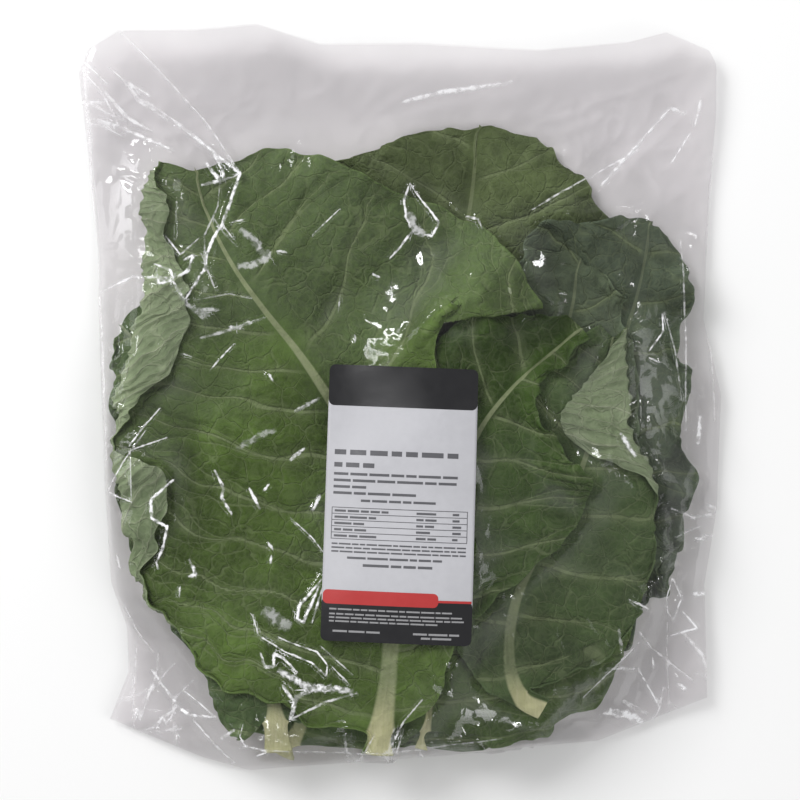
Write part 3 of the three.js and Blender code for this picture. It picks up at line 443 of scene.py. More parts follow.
# Floor and camera, in metres, and the sensor in millimetres
FLOOR_SIDE = 6.0
CAMERA_REACH = 20
FLOOR_TONES = ((0.95, 0.95, 0.95), (0.97, 0.97, 0.97))
CAMERA_HEIGHT = 1.6
VIEW_WIDTH = 0.400
VIEW_LEVEL = 0.020
SENSOR = 36.0

# Lights: place and size in metres, and power. Soft ones light surfaces, the others only show as glints.
WORLD_LIGHT = 0.42
SOFT_LIGHTS = {
    "key": ((-1.2, 1.2, 1.4), (1.2, 1.2), 40),
    "fill": ((1.5, -0.6, 1.4), (1.2, 1.2), 11),
}
GLINT_LIGHTS = {
    "sheen_left": ((-1.3, 0.2, 0.9), (0.6, 0.6), 3),
    "sheen_right": ((1.2, 0.2, 0.9), (0.6, 0.5), 1.2),
    "sheen_near": ((-0.2, -1.3, 0.8), (0.5, 0.3), 1.2),
    "glint_left": ((-0.9, 0.6, 1.0), (0.12, 0.4), 3.0),
    "glint_right": ((1.0, 0.8, 0.9), (0.1, 0.3), 1.6),
    "glint_near": ((-0.5, -1.1, 0.9), (0.3, 0.1), 1.6),
}


def smooth(low, high, value):
    t = np.clip((value - low) / (high - low), 0, 1)
    return t * t * (3 - 2 * t)


def mix(a, b, t):
    return a + (b - a) * t


def bell(value, width):
    return np.exp(-(value / width) ** 2)


def through(rows, t):
    """A smooth curve through rows of numbers, one row a step of t."""
    rows = np.asarray(rows, float)
    i = np.clip(np.floor(t).astype(int), 0, len(rows) - 2)
    s = (t - i)[:, None]
    before, start, end, after = (rows[np.clip(i + k, 0, len(rows) - 1)] for k in (-1, 0, 1, 2))
    leave = (end - before) / 2
    arrive = (after - start) / 2
    bend = 2 * (start - end) + leave + arrive
    return start + s * (leave + s * (3 * (end - start) - 2 * leave - arrive + s * bend))


def stretches(points):
    """The length of each straight stretch of a line, and the share of its whole length at each point."""
    lengths = np.linalg.norm(np.diff(points, axis=0), axis=1)
    return lengths, np.concatenate([[0], np.cumsum(lengths)]) / lengths.sum()


def along(points, t):
    """Points at shares t of the length of a line of straight stretches."""
    points = np.asarray(points, float)
    shares = stretches(points)[1]
    return np.stack([np.interp(t, shares, points[:, k]) for k in (0, 1)], axis=-1)


def value_noise(x, y, seed):
    """Smooth noise between -1 and 1 with one bump a unit."""
    table = np.random.default_rng(seed).uniform(-1, 1, (64, 64))
    i, j = np.floor(x).astype(int), np.floor(y).astype(int)
    u, v = smooth(0, 1, x - i), smooth(0, 1, y - j)

    def corner(a, b):
        return table[(i + a) % 64, (j + b) % 64]

    low = mix(corner(0, 0), corner(1, 0), u)
    high = mix(corner(0, 1), corner(1, 1), u)
    return mix(low, high, v)


def bumps(x, y, size, seed):
    return value_noise(x / size, y / size, seed)


def crumple(x, y, size, seed):
    """Sharp-ridged noise between 0 and 1, as of film that has been crumpled and pulled flat again."""
    bend_x, bend_y = (0.5 * size * bumps(x, y, 1.3 * size, seed + k) for k in (1, 2))
    return 1 - np.abs(bumps(x + bend_x, y + bend_y, size, seed))


def layered(kind, x, y, waves, seed, step=1):
    """A sum of noises of one kind, each with its height and size from waves and its own seed."""
    return sum(height * kind(x, y, size, seed + step * k) for k, (height, size) in enumerate(waves))


# Height field

GRID_X = np.arange(CELLS_X) * CELL - GRID_HALF_X
GRID_Y = np.arange(CELLS_Y) * CELL - GRID_HALF_Y


def sample(field, x, y):
    u = np.clip((x + GRID_HALF_X) / CELL, 0, CELLS_X - 1.001)
    v = np.clip((y + GRID_HALF_Y) / CELL, 0, CELLS_Y - 1.001)
    i, j = u.astype(int), v.astype(int)
    low = mix(field[j, i], field[j, i + 1], u - i)
    high = mix(field[j + 1, i], field[j + 1, i + 1], u - i)
    return mix(low, high, v - j)


def neighbours(field, cells):
    """Each shift of up to a number of cells both ways, and the field moved by it."""
    padded = np.pad(field, cells, mode="edge")
    rows, columns = field.shape
    for b in range(-cells, cells + 1):
        for a in range(-cells, cells + 1):
            yield a, b, padded[cells + b:cells + b + rows, cells + a:cells + a + columns]


def spread(field, reach):
    """The greatest height within reach of each place."""
    cells = round(reach / CELL)
    within = [moved for a, b, moved in neighbours(field, cells) if a * a + b * b <= cells * cells]
    return np.maximum.reduce(within)


def soften(field, cells):
    """The mean height of the square of cells round each place."""
    return sum(moved for _, _, moved in neighbours(field, cells)) / (2 * cells + 1) ** 2


def cells_of(points):
    """The column and the line of the height grid that are nearest to each point."""
    return np.rint((points[:, :2] + (GRID_HALF_X, GRID_HALF_Y)) / CELL).astype(int).T


def raise_points(field, points):
    i, j = cells_of(points)
    np.maximum.at(field, (j, i), points[:, 2])


def raise_triangle(field, p, q, r):
    turn = (q[0] - p[0]) * (r[1] - p[1]) - (q[1] - p[1]) * (r[0] - p[0])
    if abs(turn) < 1e-9:
        return
    low = np.minimum(np.minimum(p, q), r)
    high = np.maximum(np.maximum(p, q), r)
    i, j = (np.arange(math.floor((low[k] + half) / CELL), math.ceil((high[k] + half) / CELL) + 1)
            for k, half in enumerate((GRID_HALF_X, GRID_HALF_Y)))
    x, y = np.meshgrid(i * CELL - GRID_HALF_X, j * CELL - GRID_HALF_Y)
    b = ((x - p[0]) * (r[1] - p[1]) - (y - p[1]) * (r[0] - p[0])) / turn
    c = ((q[0] - p[0]) * (y - p[1]) - (q[1] - p[1]) * (x - p[0])) / turn
    inside = (b >= 0) & (c >= 0) & (b + c <= 1)
    z = np.where(inside, p[2] + b * (q[2] - p[2]) + c * (r[2] - p[2]), -1)
    part = field[j[0]:j[-1] + 1, i[0]:i[-1] + 1]
    np.maximum(part, z, out=part)


def raise_grid(field, grid, from_second):
    """Raises the field to a grid of points whose cells are cut along the diagonals that from_second says."""
    raise_points(field, grid.reshape(-1, 3))
    for i, j in np.ndindex(grid.shape[0] - 1, grid.shape[1] - 1):
        a, b, c, d = grid[i, j], grid[i, j + 1], grid[i + 1, j + 1], grid[i + 1, j]
        for half in ((a, b, d), (b, c, d)) if from_second[i, j] else ((a, b, c), (a, c, d)):
            raise_triangle(field, *half)


def normals_of(grid):
    padded = np.pad(grid, ((1, 1), (1, 1), (0, 0)), mode="edge")
    normal = np.cross(padded[1:-1, 2:] - padded[1:-1, :-2], padded[2:, 1:-1] - padded[:-2, 1:-1])
    return normal / np.maximum(np.linalg.norm(normal, axis=-1, keepdims=True), 1e-9)


def back_lift(x, y):
    """Height of the back film, which rises towards the seams."""
    edge = np.maximum(np.abs(x) / BAG_HALF_WIDTH, np.abs(y) / BAG_HALF_LENGTH)
    (long_x, phase_x), (long_y, phase_y) = BACK_WAVES
    waves = BACK_WAVE_SHARE * np.sin(x / long_x + phase_x) + BACK_WAVE_SHARE * np.sin(y / long_y + phase_y)
    return SEAM_LIFT * (1 + waves) * smooth(FLAT_SHARE, 1.05, edge)


# Leaf forms


def section_at(leaf, t):
    x, y = leaf["cut"]
    first = leaf["sections"][0]
    length = math.hypot(first[0] - x, first[1] - y)
    side = (-(first[1] - y) / length * leaf["stalk"], (first[0] - x) / length * leaf["stalk"])
    cut = (x, y, x + side[0], y + side[1], x - side[0], y - side[1], *first[6:])
    return through([cut, *leaf["sections"]], t)


def blade_share(leaf, t):
    return np.clip((t - 1) / (len(leaf["sections"]) - 1), 0, 1)


def stalk_share(t):
    return 1 - smooth(1, STALK_END, t)


def free_share(leaf, t, tip):
    """1 on the blade, fading to 0 on the stalk and within a share of the blade from its tip."""
    return (1 - stalk_share(t)) * smooth(0, tip, 1 - blade_share(leaf, t))


def rib_half_width(leaf, t):
    return mix(leaf["stalk"], RIB_TIP, np.sqrt(blade_share(leaf, t)))


def rib_depth(leaf, t):
    share = 1 - RIB_THINNING * np.sqrt(blade_share(leaf, t))
    return STALK_DEPTH * (leaf["stalk"] / WIDEST_STALK) * share


def rib_shape(leaf, t, away, half):
    round_form = np.sqrt(np.maximum(0, 1 - (away / half) ** 2))
    ridge = np.maximum(0, 1 - away / (RIB_EDGE * rib_half_width(leaf, t)))
    return mix(ridge, round_form, stalk_share(t))


def ruffle_phase(leaf, t, side):
    return 2 * math.pi * leaf["ruffle"][1] * blade_share(leaf, t) + leaf["ruffle"][2] + side * 1.7


def ruffle_rise(leaf, t, share, side):
    height = leaf["ruffle"][0]
    phase = ruffle_phase(leaf, t, side)
    margin = height * smooth(0.45, 1, share) * (0.5 + 0.5 * np.sin(phase))
    swell = 0.5 * height * share * (1 - share) * 4 * (0.5 + 0.5 * np.sin(phase * 0.55 + 2))
    return (margin + swell) * free_share(leaf, t, COARSE_TIP)


def ruffle_reach(leaf, t, side):
    swing = np.cos(ruffle_phase(leaf, t, side)) * free_share(leaf, t, COARSE_TIP)
    return RUFFLE_REACH * leaf["ruffle"][0] * swing


def turned_over(past, depth):
    """How far a point past the fold line goes outward and up, where the margin is turned over by depth."""
    arc = math.pi * FOLD_RADIUS
    angle = np.minimum(past, arc) / FOLD_RADIUS
    back = np.maximum(past - arc, 0)
    outward = FOLD_RADIUS * np.sin(angle) - back
    up = FOLD_RADIUS * (1 - np.cos(angle)) + 1.2 * np.sin(math.pi * back / depth)
    return outward, up


def column_shares(leaf, t, half, fine):
    edge = np.minimum(RIB_EDGE * rib_half_width(leaf, t) / half, 0.4)[:, None]
    shares = mix(edge, 1, np.linspace(0, 1, (fine or leaf["columns"]) + 1)[None, :])
    if fine:
        shares = np.concatenate([edge * np.linspace(0, 1, 8)[None, 1:-1], shares], axis=1)
    return shares


def turned_columns(depth, fine):
    arc = np.minimum(math.pi * FOLD_RADIUS, 0.8 * depth)[:, None]
    flat = depth[:, None] - arc
    round_steps, flat_steps = (12, 24) if fine else (2, 2)
    first = arc * np.linspace(0, 1, round_steps + 1)[1:]
    return np.concatenate([first, arc + flat * np.linspace(0, 1, flat_steps + 1)[1:]], axis=1)


def fine_reach(leaf, t, side):
    """Lobes and small scallops of the margin."""
    v = blade_share(leaf, t)
    seed = SEED + len(leaf["name"])
    reach = sum(height * value_noise(v * count, side * shift + np.zeros_like(v), seed + k)
                for k, (height, count, shift) in enumerate(LOBES))
    return leaf["frill"] * reach * free_share(leaf, t, FINE_TIP)


def fine_rise(leaf, t, share, side):
    """Frills along the margin, and puckers that run in from it."""
    v = blade_share(leaf, t)
    seed = SEED + 3 * len(leaf["name"])
    edge = value_noise(v * 30, side * 2 + share * 1.5, seed) * smooth(0.62, 1, share)
    pucker = value_noise(v * 19, side * 4 + share * 2.5, seed + 1) * smooth(0.25, 0.7, share)
    return leaf["frill"] * (FRILL_RISE * np.abs(edge) + PUCKER_RISE * pucker) * free_share(leaf, t, FINE_TIP)


def margin_warp(leaf, x, y, share, t):
    """Moves points near the margin a little in plan, so that it is wavy all round."""
    seed = SEED + 5 * len(leaf["name"])
    near = np.maximum(smooth(0.5, 1, share), smooth(0.88, 1, blade_share(leaf, t)))
    weight = leaf["frill"] * near * (1 - stalk_share(t))
    move_x, move_y = (layered(bumps, x, y, MARGIN_WAVES, seed + k, 2) for k in (0, 1))
    return x + weight * move_x, y + weight * move_y


def side_points(leaf, t, side, fine, bare):
    """Plan position, rise, rib depth and place on the leaf of the points of one side, from the midrib out.
    Where bare is 0, other leaves lie on top and the frills stay flat."""
    section = section_at(leaf, t)
    middle = section[:, :2]
    margin, turned_at = (section[:, 2:4], 6) if side > 0 else (section[:, 4:6], 7)
    depth = section[:, turned_at]
    if fine:
        depth = depth + 1.5 * fine_reach(leaf, t, side) * smooth(6, 14, depth)
    turns = any(row[turned_at] > 0 for row in leaf["sections"])
    straight = np.linalg.norm(margin - middle, axis=1)
    calm = 1 - smooth(4, 14, depth) if turns else np.ones_like(depth)
    half = straight + ruffle_reach(leaf, t, side) * calm
    if fine:
        half = half + fine_reach(leaf, t, side) * calm
    half, calm = half[:, None], calm[:, None]
    out = (margin - middle) / straight[:, None]
    shares = column_shares(leaf, t, half[:, 0], fine)
    rows_t = t[:, None] + 0 * shares
    away = shares * half
    parts = dict(
        reach=away, away=away, share=shares,
        rise=ruffle_rise(leaf, rows_t, shares, side) * mix(1, calm, shares),
        frill=fine_rise(leaf, rows_t, shares, side) * mix(1, calm, shares),
        rib=rib_shape(leaf, rows_t, away, half) * rib_depth(leaf, rows_t),
    )
    if turns:
        past = turned_columns(depth, fine)
        outward, up = turned_over(past, depth[:, None])
        edge_t = t[:, None] + 0 * past
        turned = dict(
            reach=half + outward, away=half + past, share=1 + past / half,
            rise=ruffle_rise(leaf, edge_t, np.ones_like(past), side) * calm + up,
            frill=fine_rise(leaf, edge_t, 1 + past / 40, side) * smooth(6, 14, past), rib=np.zeros_like(past),
        )
        parts = {key: np.concatenate([parts[key], turned[key]], axis=1) for key in parts}
    reach, frill = parts.pop("reach"), parts.pop("frill")
    x, y = (middle[:, k:k + 1] + out[:, k:k + 1] * reach for k in (0, 1))
    flat_x, flat_y = (middle[:, k:k + 1] + out[:, k:k + 1] * parts["away"] for k in (0, 1))
    if fine:
        parts["rise"] = parts["rise"] + frill * sample(bare, x, y)
        x, y = margin_warp(leaf, x, y, parts["share"], t[:, None] + 0 * x)
    return dict(x=x, y=y, flat_x=flat_x, flat_y=flat_y, **parts)


def support_for(leaf, field):
    """The heights that a leaf is laid on: what lies below it, raised by its rib and softened."""
    needed = field.copy()
    t = np.linspace(0, len(leaf["sections"]), 121)
    columns, lines = cells_of(section_at(leaf, t))
    cells = np.ceil(rib_half_width(leaf, t) / CELL).astype(int)
    for i, j, n, d in zip(columns, lines, cells, rib_depth(leaf, t)):
        box = (slice(j - n, j + n + 1), slice(i - n, i + n + 1))
        needed[box] = np.maximum(needed[box], field[box] + d)
    return soften(soften(spread(needed, DRAPE_REACH), DRAPE_SOFTEN), DRAPE_SOFTEN)


def leaf_grids(leaf, support, t, fine=None, bare=None):
    """The upper and lower grids of a leaf, their normals and what is known of each point. Columns run from
    right to left."""
    left = side_points(leaf, t, 1, fine, bare)
    right = side_points(leaf, t, -1, fine, bare)
    section = section_at(leaf, t)
    none = np.zeros((len(t), 1))
    centre = dict(x=section[:, :1], y=section[:, 1:2], flat_x=section[:, :1], flat_y=section[:, 1:2],
                  rise=none, rib=rib_depth(leaf, t)[:, None], away=none, share=none)
    info = {key: np.concatenate([right[key][:, ::-1], centre[key], left[key]], axis=1) for key in left}
    on_right = np.arange(info["x"].shape[1]) < right["x"].shape[1]
    info["side"] = np.where(on_right, -1.0, 1.0)[None, :] + 0 * info["x"]
    info["t"] = t[:, None] + 0 * info["x"]
    z = sample(support, info["x"], info["y"]) + CLEARANCE + BLADE / 2 + info["rise"]
    middle = np.stack([info["x"], info["y"], z], axis=-1)
    normal = -normals_of(middle)
    rib = info["rib"][..., None]
    upper = middle + normal * (BLADE / 2 + STALK_RISE / STALK_DEPTH * rib)
    lower = middle - normal * (BLADE / 2 + rib)
    return upper, lower, normal, info


def coarse_rows(leaf):
    per_section = 2 if len(leaf["sections"]) > 9 else 3
    return np.arange(len(leaf["sections"]) * per_section + 1) / per_section


def diagonals(grid):
    """Where the second diagonal of a cell is the shorter one."""
    first = np.linalg.norm(grid[:-1, :-1] - grid[1:, 1:], axis=-1)
    second = np.linalg.norm(grid[:-1, 1:] - grid[1:, :-1], axis=-1)
    return second < first


# Mesh helpers


def grid_faces(rows, columns, start=0, flipped=False):
    i, j = np.meshgrid(np.arange(rows - 1), np.arange(columns - 1), indexing="ij")
    a = (start + i * columns + j).ravel()
    faces = np.stack([a, a + 1, a + columns + 1, a + columns], axis=1)
    return faces[:, ::-1] if flipped else faces


def rim_faces(rows, columns, start):
    """Faces that join the edges of an upper grid, at 0, and a lower one, at start."""
    grid = np.arange(rows * columns).reshape(rows, columns)
    loop = np.concatenate([grid[0, :-1], grid[:-1, -1], grid[-1, :0:-1], grid[:0:-1, 0]])
    ahead = np.roll(loop, -1)
    return np.stack([loop + start, ahead + start, ahead, loop], axis=1)


def make_mesh(name, points, faces, slots=None, attributes=None):
    """An object of four-cornered faces with its points in millimetres."""
    mesh = bpy.data.meshes.new(name)
    mesh.vertices.add(len(points))
    mesh.vertices.foreach_set("co", (np.asarray(points) * MM).astype(np.float32).ravel())
    mesh.loops.add(faces.size)
    mesh.loops.foreach_set("vertex_index", faces.astype(np.int32).ravel())
    mesh.polygons.add(len(faces))
    mesh.polygons.foreach_set("loop_start", np.arange(0, faces.size, faces.shape[1], dtype=np.int32))
    if slots is not None:
        mesh.polygons.foreach_set("material_index", slots.astype(np.int32))
    mesh.polygons.foreach_set("use_smooth", np.ones(len(faces), dtype=bool))
    for key, values in (attributes or {}).items():
        kind, field = ("FLOAT_VECTOR", "vector") if values.ndim == 2 else ("FLOAT", "value")
        layer = mesh.attributes.new(key, kind, "POINT")
        layer.data.foreach_set(field, values.astype(np.float32).ravel())
    mesh.update(calc_edges=True)
    mesh.validate()
    piece = bpy.data.objects.new(name, mesh)
    bpy.context.scene.collection.objects.link(piece)
    return piece


# Leaf pieces


def midrib_place(leaf, info):
    """How far along the midrib and how far off it each point is, on the leaf laid flat, and the blade's
    length."""
    shares = np.linspace(0, len(leaf["sections"]), MIDRIB_STEPS)
    line = section_at(leaf, shares)[:, :2]
    steps = np.diff(line, axis=0)
    lengths = np.linalg.norm(steps, axis=1)
    travelled = np.concatenate([[0], np.cumsum(lengths)])
    x, y = info["flat_x"], info["flat_y"]
    best = np.full(x.shape, np.inf)
    place = np.zeros(x.shape)
    for k in range(len(steps)):
        to_x, to_y = x - line[k, 0], y - line[k, 1]
        u = (to_x * steps[k, 0] + to_y * steps[k, 1]) / lengths[k] ** 2
        u = np.clip(u, -9 if k == 0 else 0, 9 if k == len(steps) - 1 else 1)
        gap = np.hypot(to_x - u * steps[k, 0], to_y - u * steps[k, 1])
        place = np.where(gap < best, travelled[k] + u * lengths[k], place)
        best = np.minimum(gap, best)
    base = np.interp(1, shares, travelled)
    return place - base, best, travelled[-1] - base


def vein_number(start, places):
    """A number that is whole at each place where a vein starts, and the gap between two veins there."""
    gaps = np.diff(places)
    number = np.interp(start, places, np.arange(len(places)))
    number = number + np.minimum(start - places[0], 0) / gaps[0]
    number = number + np.maximum(start - places[-1], 0) / gaps[-1]
    return number, np.interp(start, (np.array(places[1:]) + places[:-1]) / 2, gaps)


def vein_fields(leaf, info):
    """A number that is whole on each side vein, the gap between two of them, and where they have forked."""
    place, off, length = midrib_place(leaf, info)
    place = np.where(place < 0, place * BASE_FAN, place)
    seed = SEED + 7 * len(leaf["name"])
    side = info["side"]
    tip_lean = np.where(side > 0, leaf.get("left_lean", VEIN_LEAN[1]), leaf.get("right_lean", VEIN_LEAN[1]))
    lean = (mix(VEIN_LEAN[0], tip_lean, smooth(0.2 * length, 0.75 * length, place)) + VEIN_CURVE * off) * off
    start = place - lean
    if "left_veins" in leaf:
        measured = [vein_number(start, leaf[key]) for key in ("left_veins", "right_veins")]
        index, spacing = np.where(side > 0, *measured)
    else:
        gap = length / leaf["veins"]
        shift = value_noise(start / (gap * 1.7), side * 3.1 + 5, seed)
        index = start / gap + VEIN_SHIFT * shift + SIDE_SHIFT * side
        spacing = np.full(index.shape, gap)
    bend = value_noise(off / 20, place / (0.8 * spacing) + side * 9, seed + 1)
    index = index + VEIN_BEND * bend * smooth(0, 15, off)
    forked = smooth(0.5, 1.0, info["share"] + 0.25 * value_noise(index, side * 4.0, seed + 2))
    return index, spacing * SPACING_SHARE, forked * FORK_GAP


def leaf_piece(leaf, support, bare):
    """A fine leaf on its support, flatter where bare says that others lie on it. Returns its upper grid."""
    last = len(leaf["sections"])
    t = np.concatenate([np.linspace(0, 1, STALK_ROWS)[:-1], np.linspace(1, last, leaf["fine_rows"])])
    upper, lower, normal, info = leaf_grids(leaf, support, t, leaf["fine_columns"], bare)
    index, spacing, fork = vein_fields(leaf, info)
    v = blade_share(leaf, info["t"])
    inner = np.clip(info["share"], 0, 1)
    blade = (1 - stalk_share(info["t"])) * smooth(0.0, 0.14, info["share"])
    from_main = np.abs((index + 0.5) % 1 - 0.5)
    from_vein = np.minimum(from_main, np.abs(from_main - fork) + 0.02) * spacing
    seed = SEED + len(leaf["name"])
    flat_x, flat_y = info["flat_x"], info["flat_y"]
    quilt = QUILT * (1 - bell(from_vein, QUILT_WALL)) * bell(from_vein - QUILT_TOP, QUILT_REACH)
    blister = layered(bumps, flat_x, flat_y, BLISTERS, seed)
    folds = layered(crumple, flat_x, flat_y, CRUMPLES, seed + 4, 4) - CRUMPLE_MEAN
    folds = folds * mix(0.3, 1, inner)
    free = sample(bare, info["x"], info["y"])
    swell = mix(0.4, 1, free) * quilt + mix(0.3, 0.7, free) * blister + free * leaf["crumple"] * folds
    groove, ridge = (depth * bell(from_vein, half) for depth, half in (VEIN_GROOVE, VEIN_RIDGE))
    move = (swell * smooth(0, 0.1, 1 - v) - groove) * blade
    upper = upper + move[..., None] * normal
    lower = lower + (move - ridge * blade)[..., None] * normal
    rows, columns = upper.shape[:2]
    count = rows * columns
    top = grid_faces(rows, columns, flipped=True)
    under = grid_faces(rows, columns, start=count)
    rim = rim_faces(rows, columns, count)[:, ::-1]
    slots = np.concatenate([np.zeros(len(top)), np.ones(len(under)), np.zeros(len(rim))])
    away, rib_half = info["away"], rib_half_width(leaf, info["t"])
    edge_away = np.where(info["side"] > 0, away[:, -1:], away[:, :1])
    toward_tip = smooth(0.35, 0.75, v + 0.15 * bumps(flat_x, flat_y, 30, seed))
    fields = {
        "vein_index": index,
        "vein_spacing": spacing,
        "vein_fork": fork,
        "vein_width": mix(1.3, 0.55, inner) * (1 - 0.3 * v),
        "from_midrib": away,
        "midrib_width": rib_half * (1.15 - 0.35 * v),
        "margin": 1 - smooth(0.3, 1.3, edge_away - away),
        "bloom": mix(*leaf["bloom"], toward_tip),
        # painted shade: a darker colour down in the hollows of the crumpled folds
        "painted_fold_shade": smooth(0.15, -0.45, folds) * min(1, leaf["crumple"] / 2.5),
        "stalk": stalk_share(info["t"]) * (1 - smooth(0.85, 1.2, away / rib_half)),
        "blade": blade,
    }
    attributes = {key: np.tile(values.ravel(), 2) for key, values in fields.items()}
    flow = np.stack([flat_x, flat_y, 40.0 * info["side"]], axis=-1).reshape(-1, 3)
    attributes["leaf_mm"] = np.tile(flow, (2, 1))
    points = np.concatenate([upper.reshape(-1, 3), lower.reshape(-1, 3)])
    piece = make_mesh(leaf["name"] + "_fine", points, np.concatenate([top, under, rim]), slots, attributes)
    piece.data.materials.append(leaf_material(leaf["name"] + "_upper", leaf, under=False))
    piece.data.materials.append(leaf_material(leaf["name"] + "_under", leaf, under=True))
    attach(piece, "root")
    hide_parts(leaf["name"])
    return upper


# Materials


class Value:
    """A number that a material's nodes work out, with the usual signs for sums, products and quotients."""

    def __init__(self, shader, socket):
        self.shader = shader
        self.socket = socket

    def __add__(self, other):
        return self.shader.math("ADD", self, other)

    def __sub__(self, other):
        return self.shader.math("SUBTRACT", self, other)

    def __mul__(self, other):
        return self.shader.math("MULTIPLY", self, other)

    def __truediv__(self, other):
        return self.shader.math("DIVIDE", self, other)

    def __abs__(self):
        return self.shader.math("ABSOLUTE", self)

    def ramp(self, low, high, to_low=0.0, to_high=1.0):
        """A smooth step from to_low, up to low, to to_high, from high on."""
        inputs = enumerate((self, low, high, to_low, to_high))
        return self.shader.value("ShaderNodeMapRange", inputs, 0, interpolation_type="SMOOTHSTEP")


class Shader:
    """A material's node tree with short calls for its nodes."""

    def __init__(self, name):
        self.material = bpy.data.materials.new(name)
        self.material.use_nodes = True
        self.tree = self.material.node_tree
        self.surface = self.tree.nodes["Principled BSDF"]

    def join(self, source, target):
        """Links a node's output to an input, or sets the input to a number or a colour."""
        if isinstance(source, Value):
            self.tree.links.new(source.socket, target)
        elif isinstance(source, (int, float)):
            target.default_value = source
        else:
            target.default_value = (*source, 1) if target.type == "RGBA" else source

    def dress(self, made, inputs):
        for key, source in dict(inputs).items():
            self.join(source, made.inputs[key])
        return made

    def value(self, kind, inputs, output, **settings):
        """The output of a new node with its inputs and settings."""
        made = self.tree.nodes.new(kind)
        for key, setting in settings.items():
            setattr(made, key, setting)
        return Value(self, self.dress(made, inputs).outputs[output])

    def math(self, operation, *values, clamp=False):
        return self.value("ShaderNodeMath", enumerate(values), 0, operation=operation, use_clamp=clamp)

    def vector_math(self, operation, *values):
        return self.value("ShaderNodeVectorMath", enumerate(values), 0, operation=operation)

    def attribute(self, name, output="Fac"):
        return self.value("ShaderNodeAttribute", {}, output, attribute_name=name)

    def noise(self, scale, vector, detail=3.0, roughness=0.5, output="Fac"):
        inputs = {"Scale": scale, "Detail": detail, "Roughness": roughness, "Vector": vector}
        return self.value("ShaderNodeTexNoise", inputs, output)

    def cracks(self, scale, vector):
        inputs = {"Scale": scale, "Vector": vector}
        return self.value("ShaderNodeTexVoronoi", inputs, "Distance", feature="DISTANCE_TO_EDGE")

    def blend(self, share, first, second):
        return self.value("ShaderNodeMix", {0: share, 6: first, 7: second}, 2, data_type="RGBA")

    def place(self):
        return self.value("ShaderNodeTexCoord", {}, "Object")

    def bump(self, height, strength, distance):
        inputs = {"Strength": strength, "Distance": distance, "Height": height}
        return self.value("ShaderNodeBump", inputs, "Normal")

    def mixed(self, share, first, second):
        return self.value("ShaderNodeMixShader", {0: share, 1: first, 2: second}, 0)


def tinted(colour, factor, lift=0.0):
    return tuple(channel * factor + lift for channel in colour)


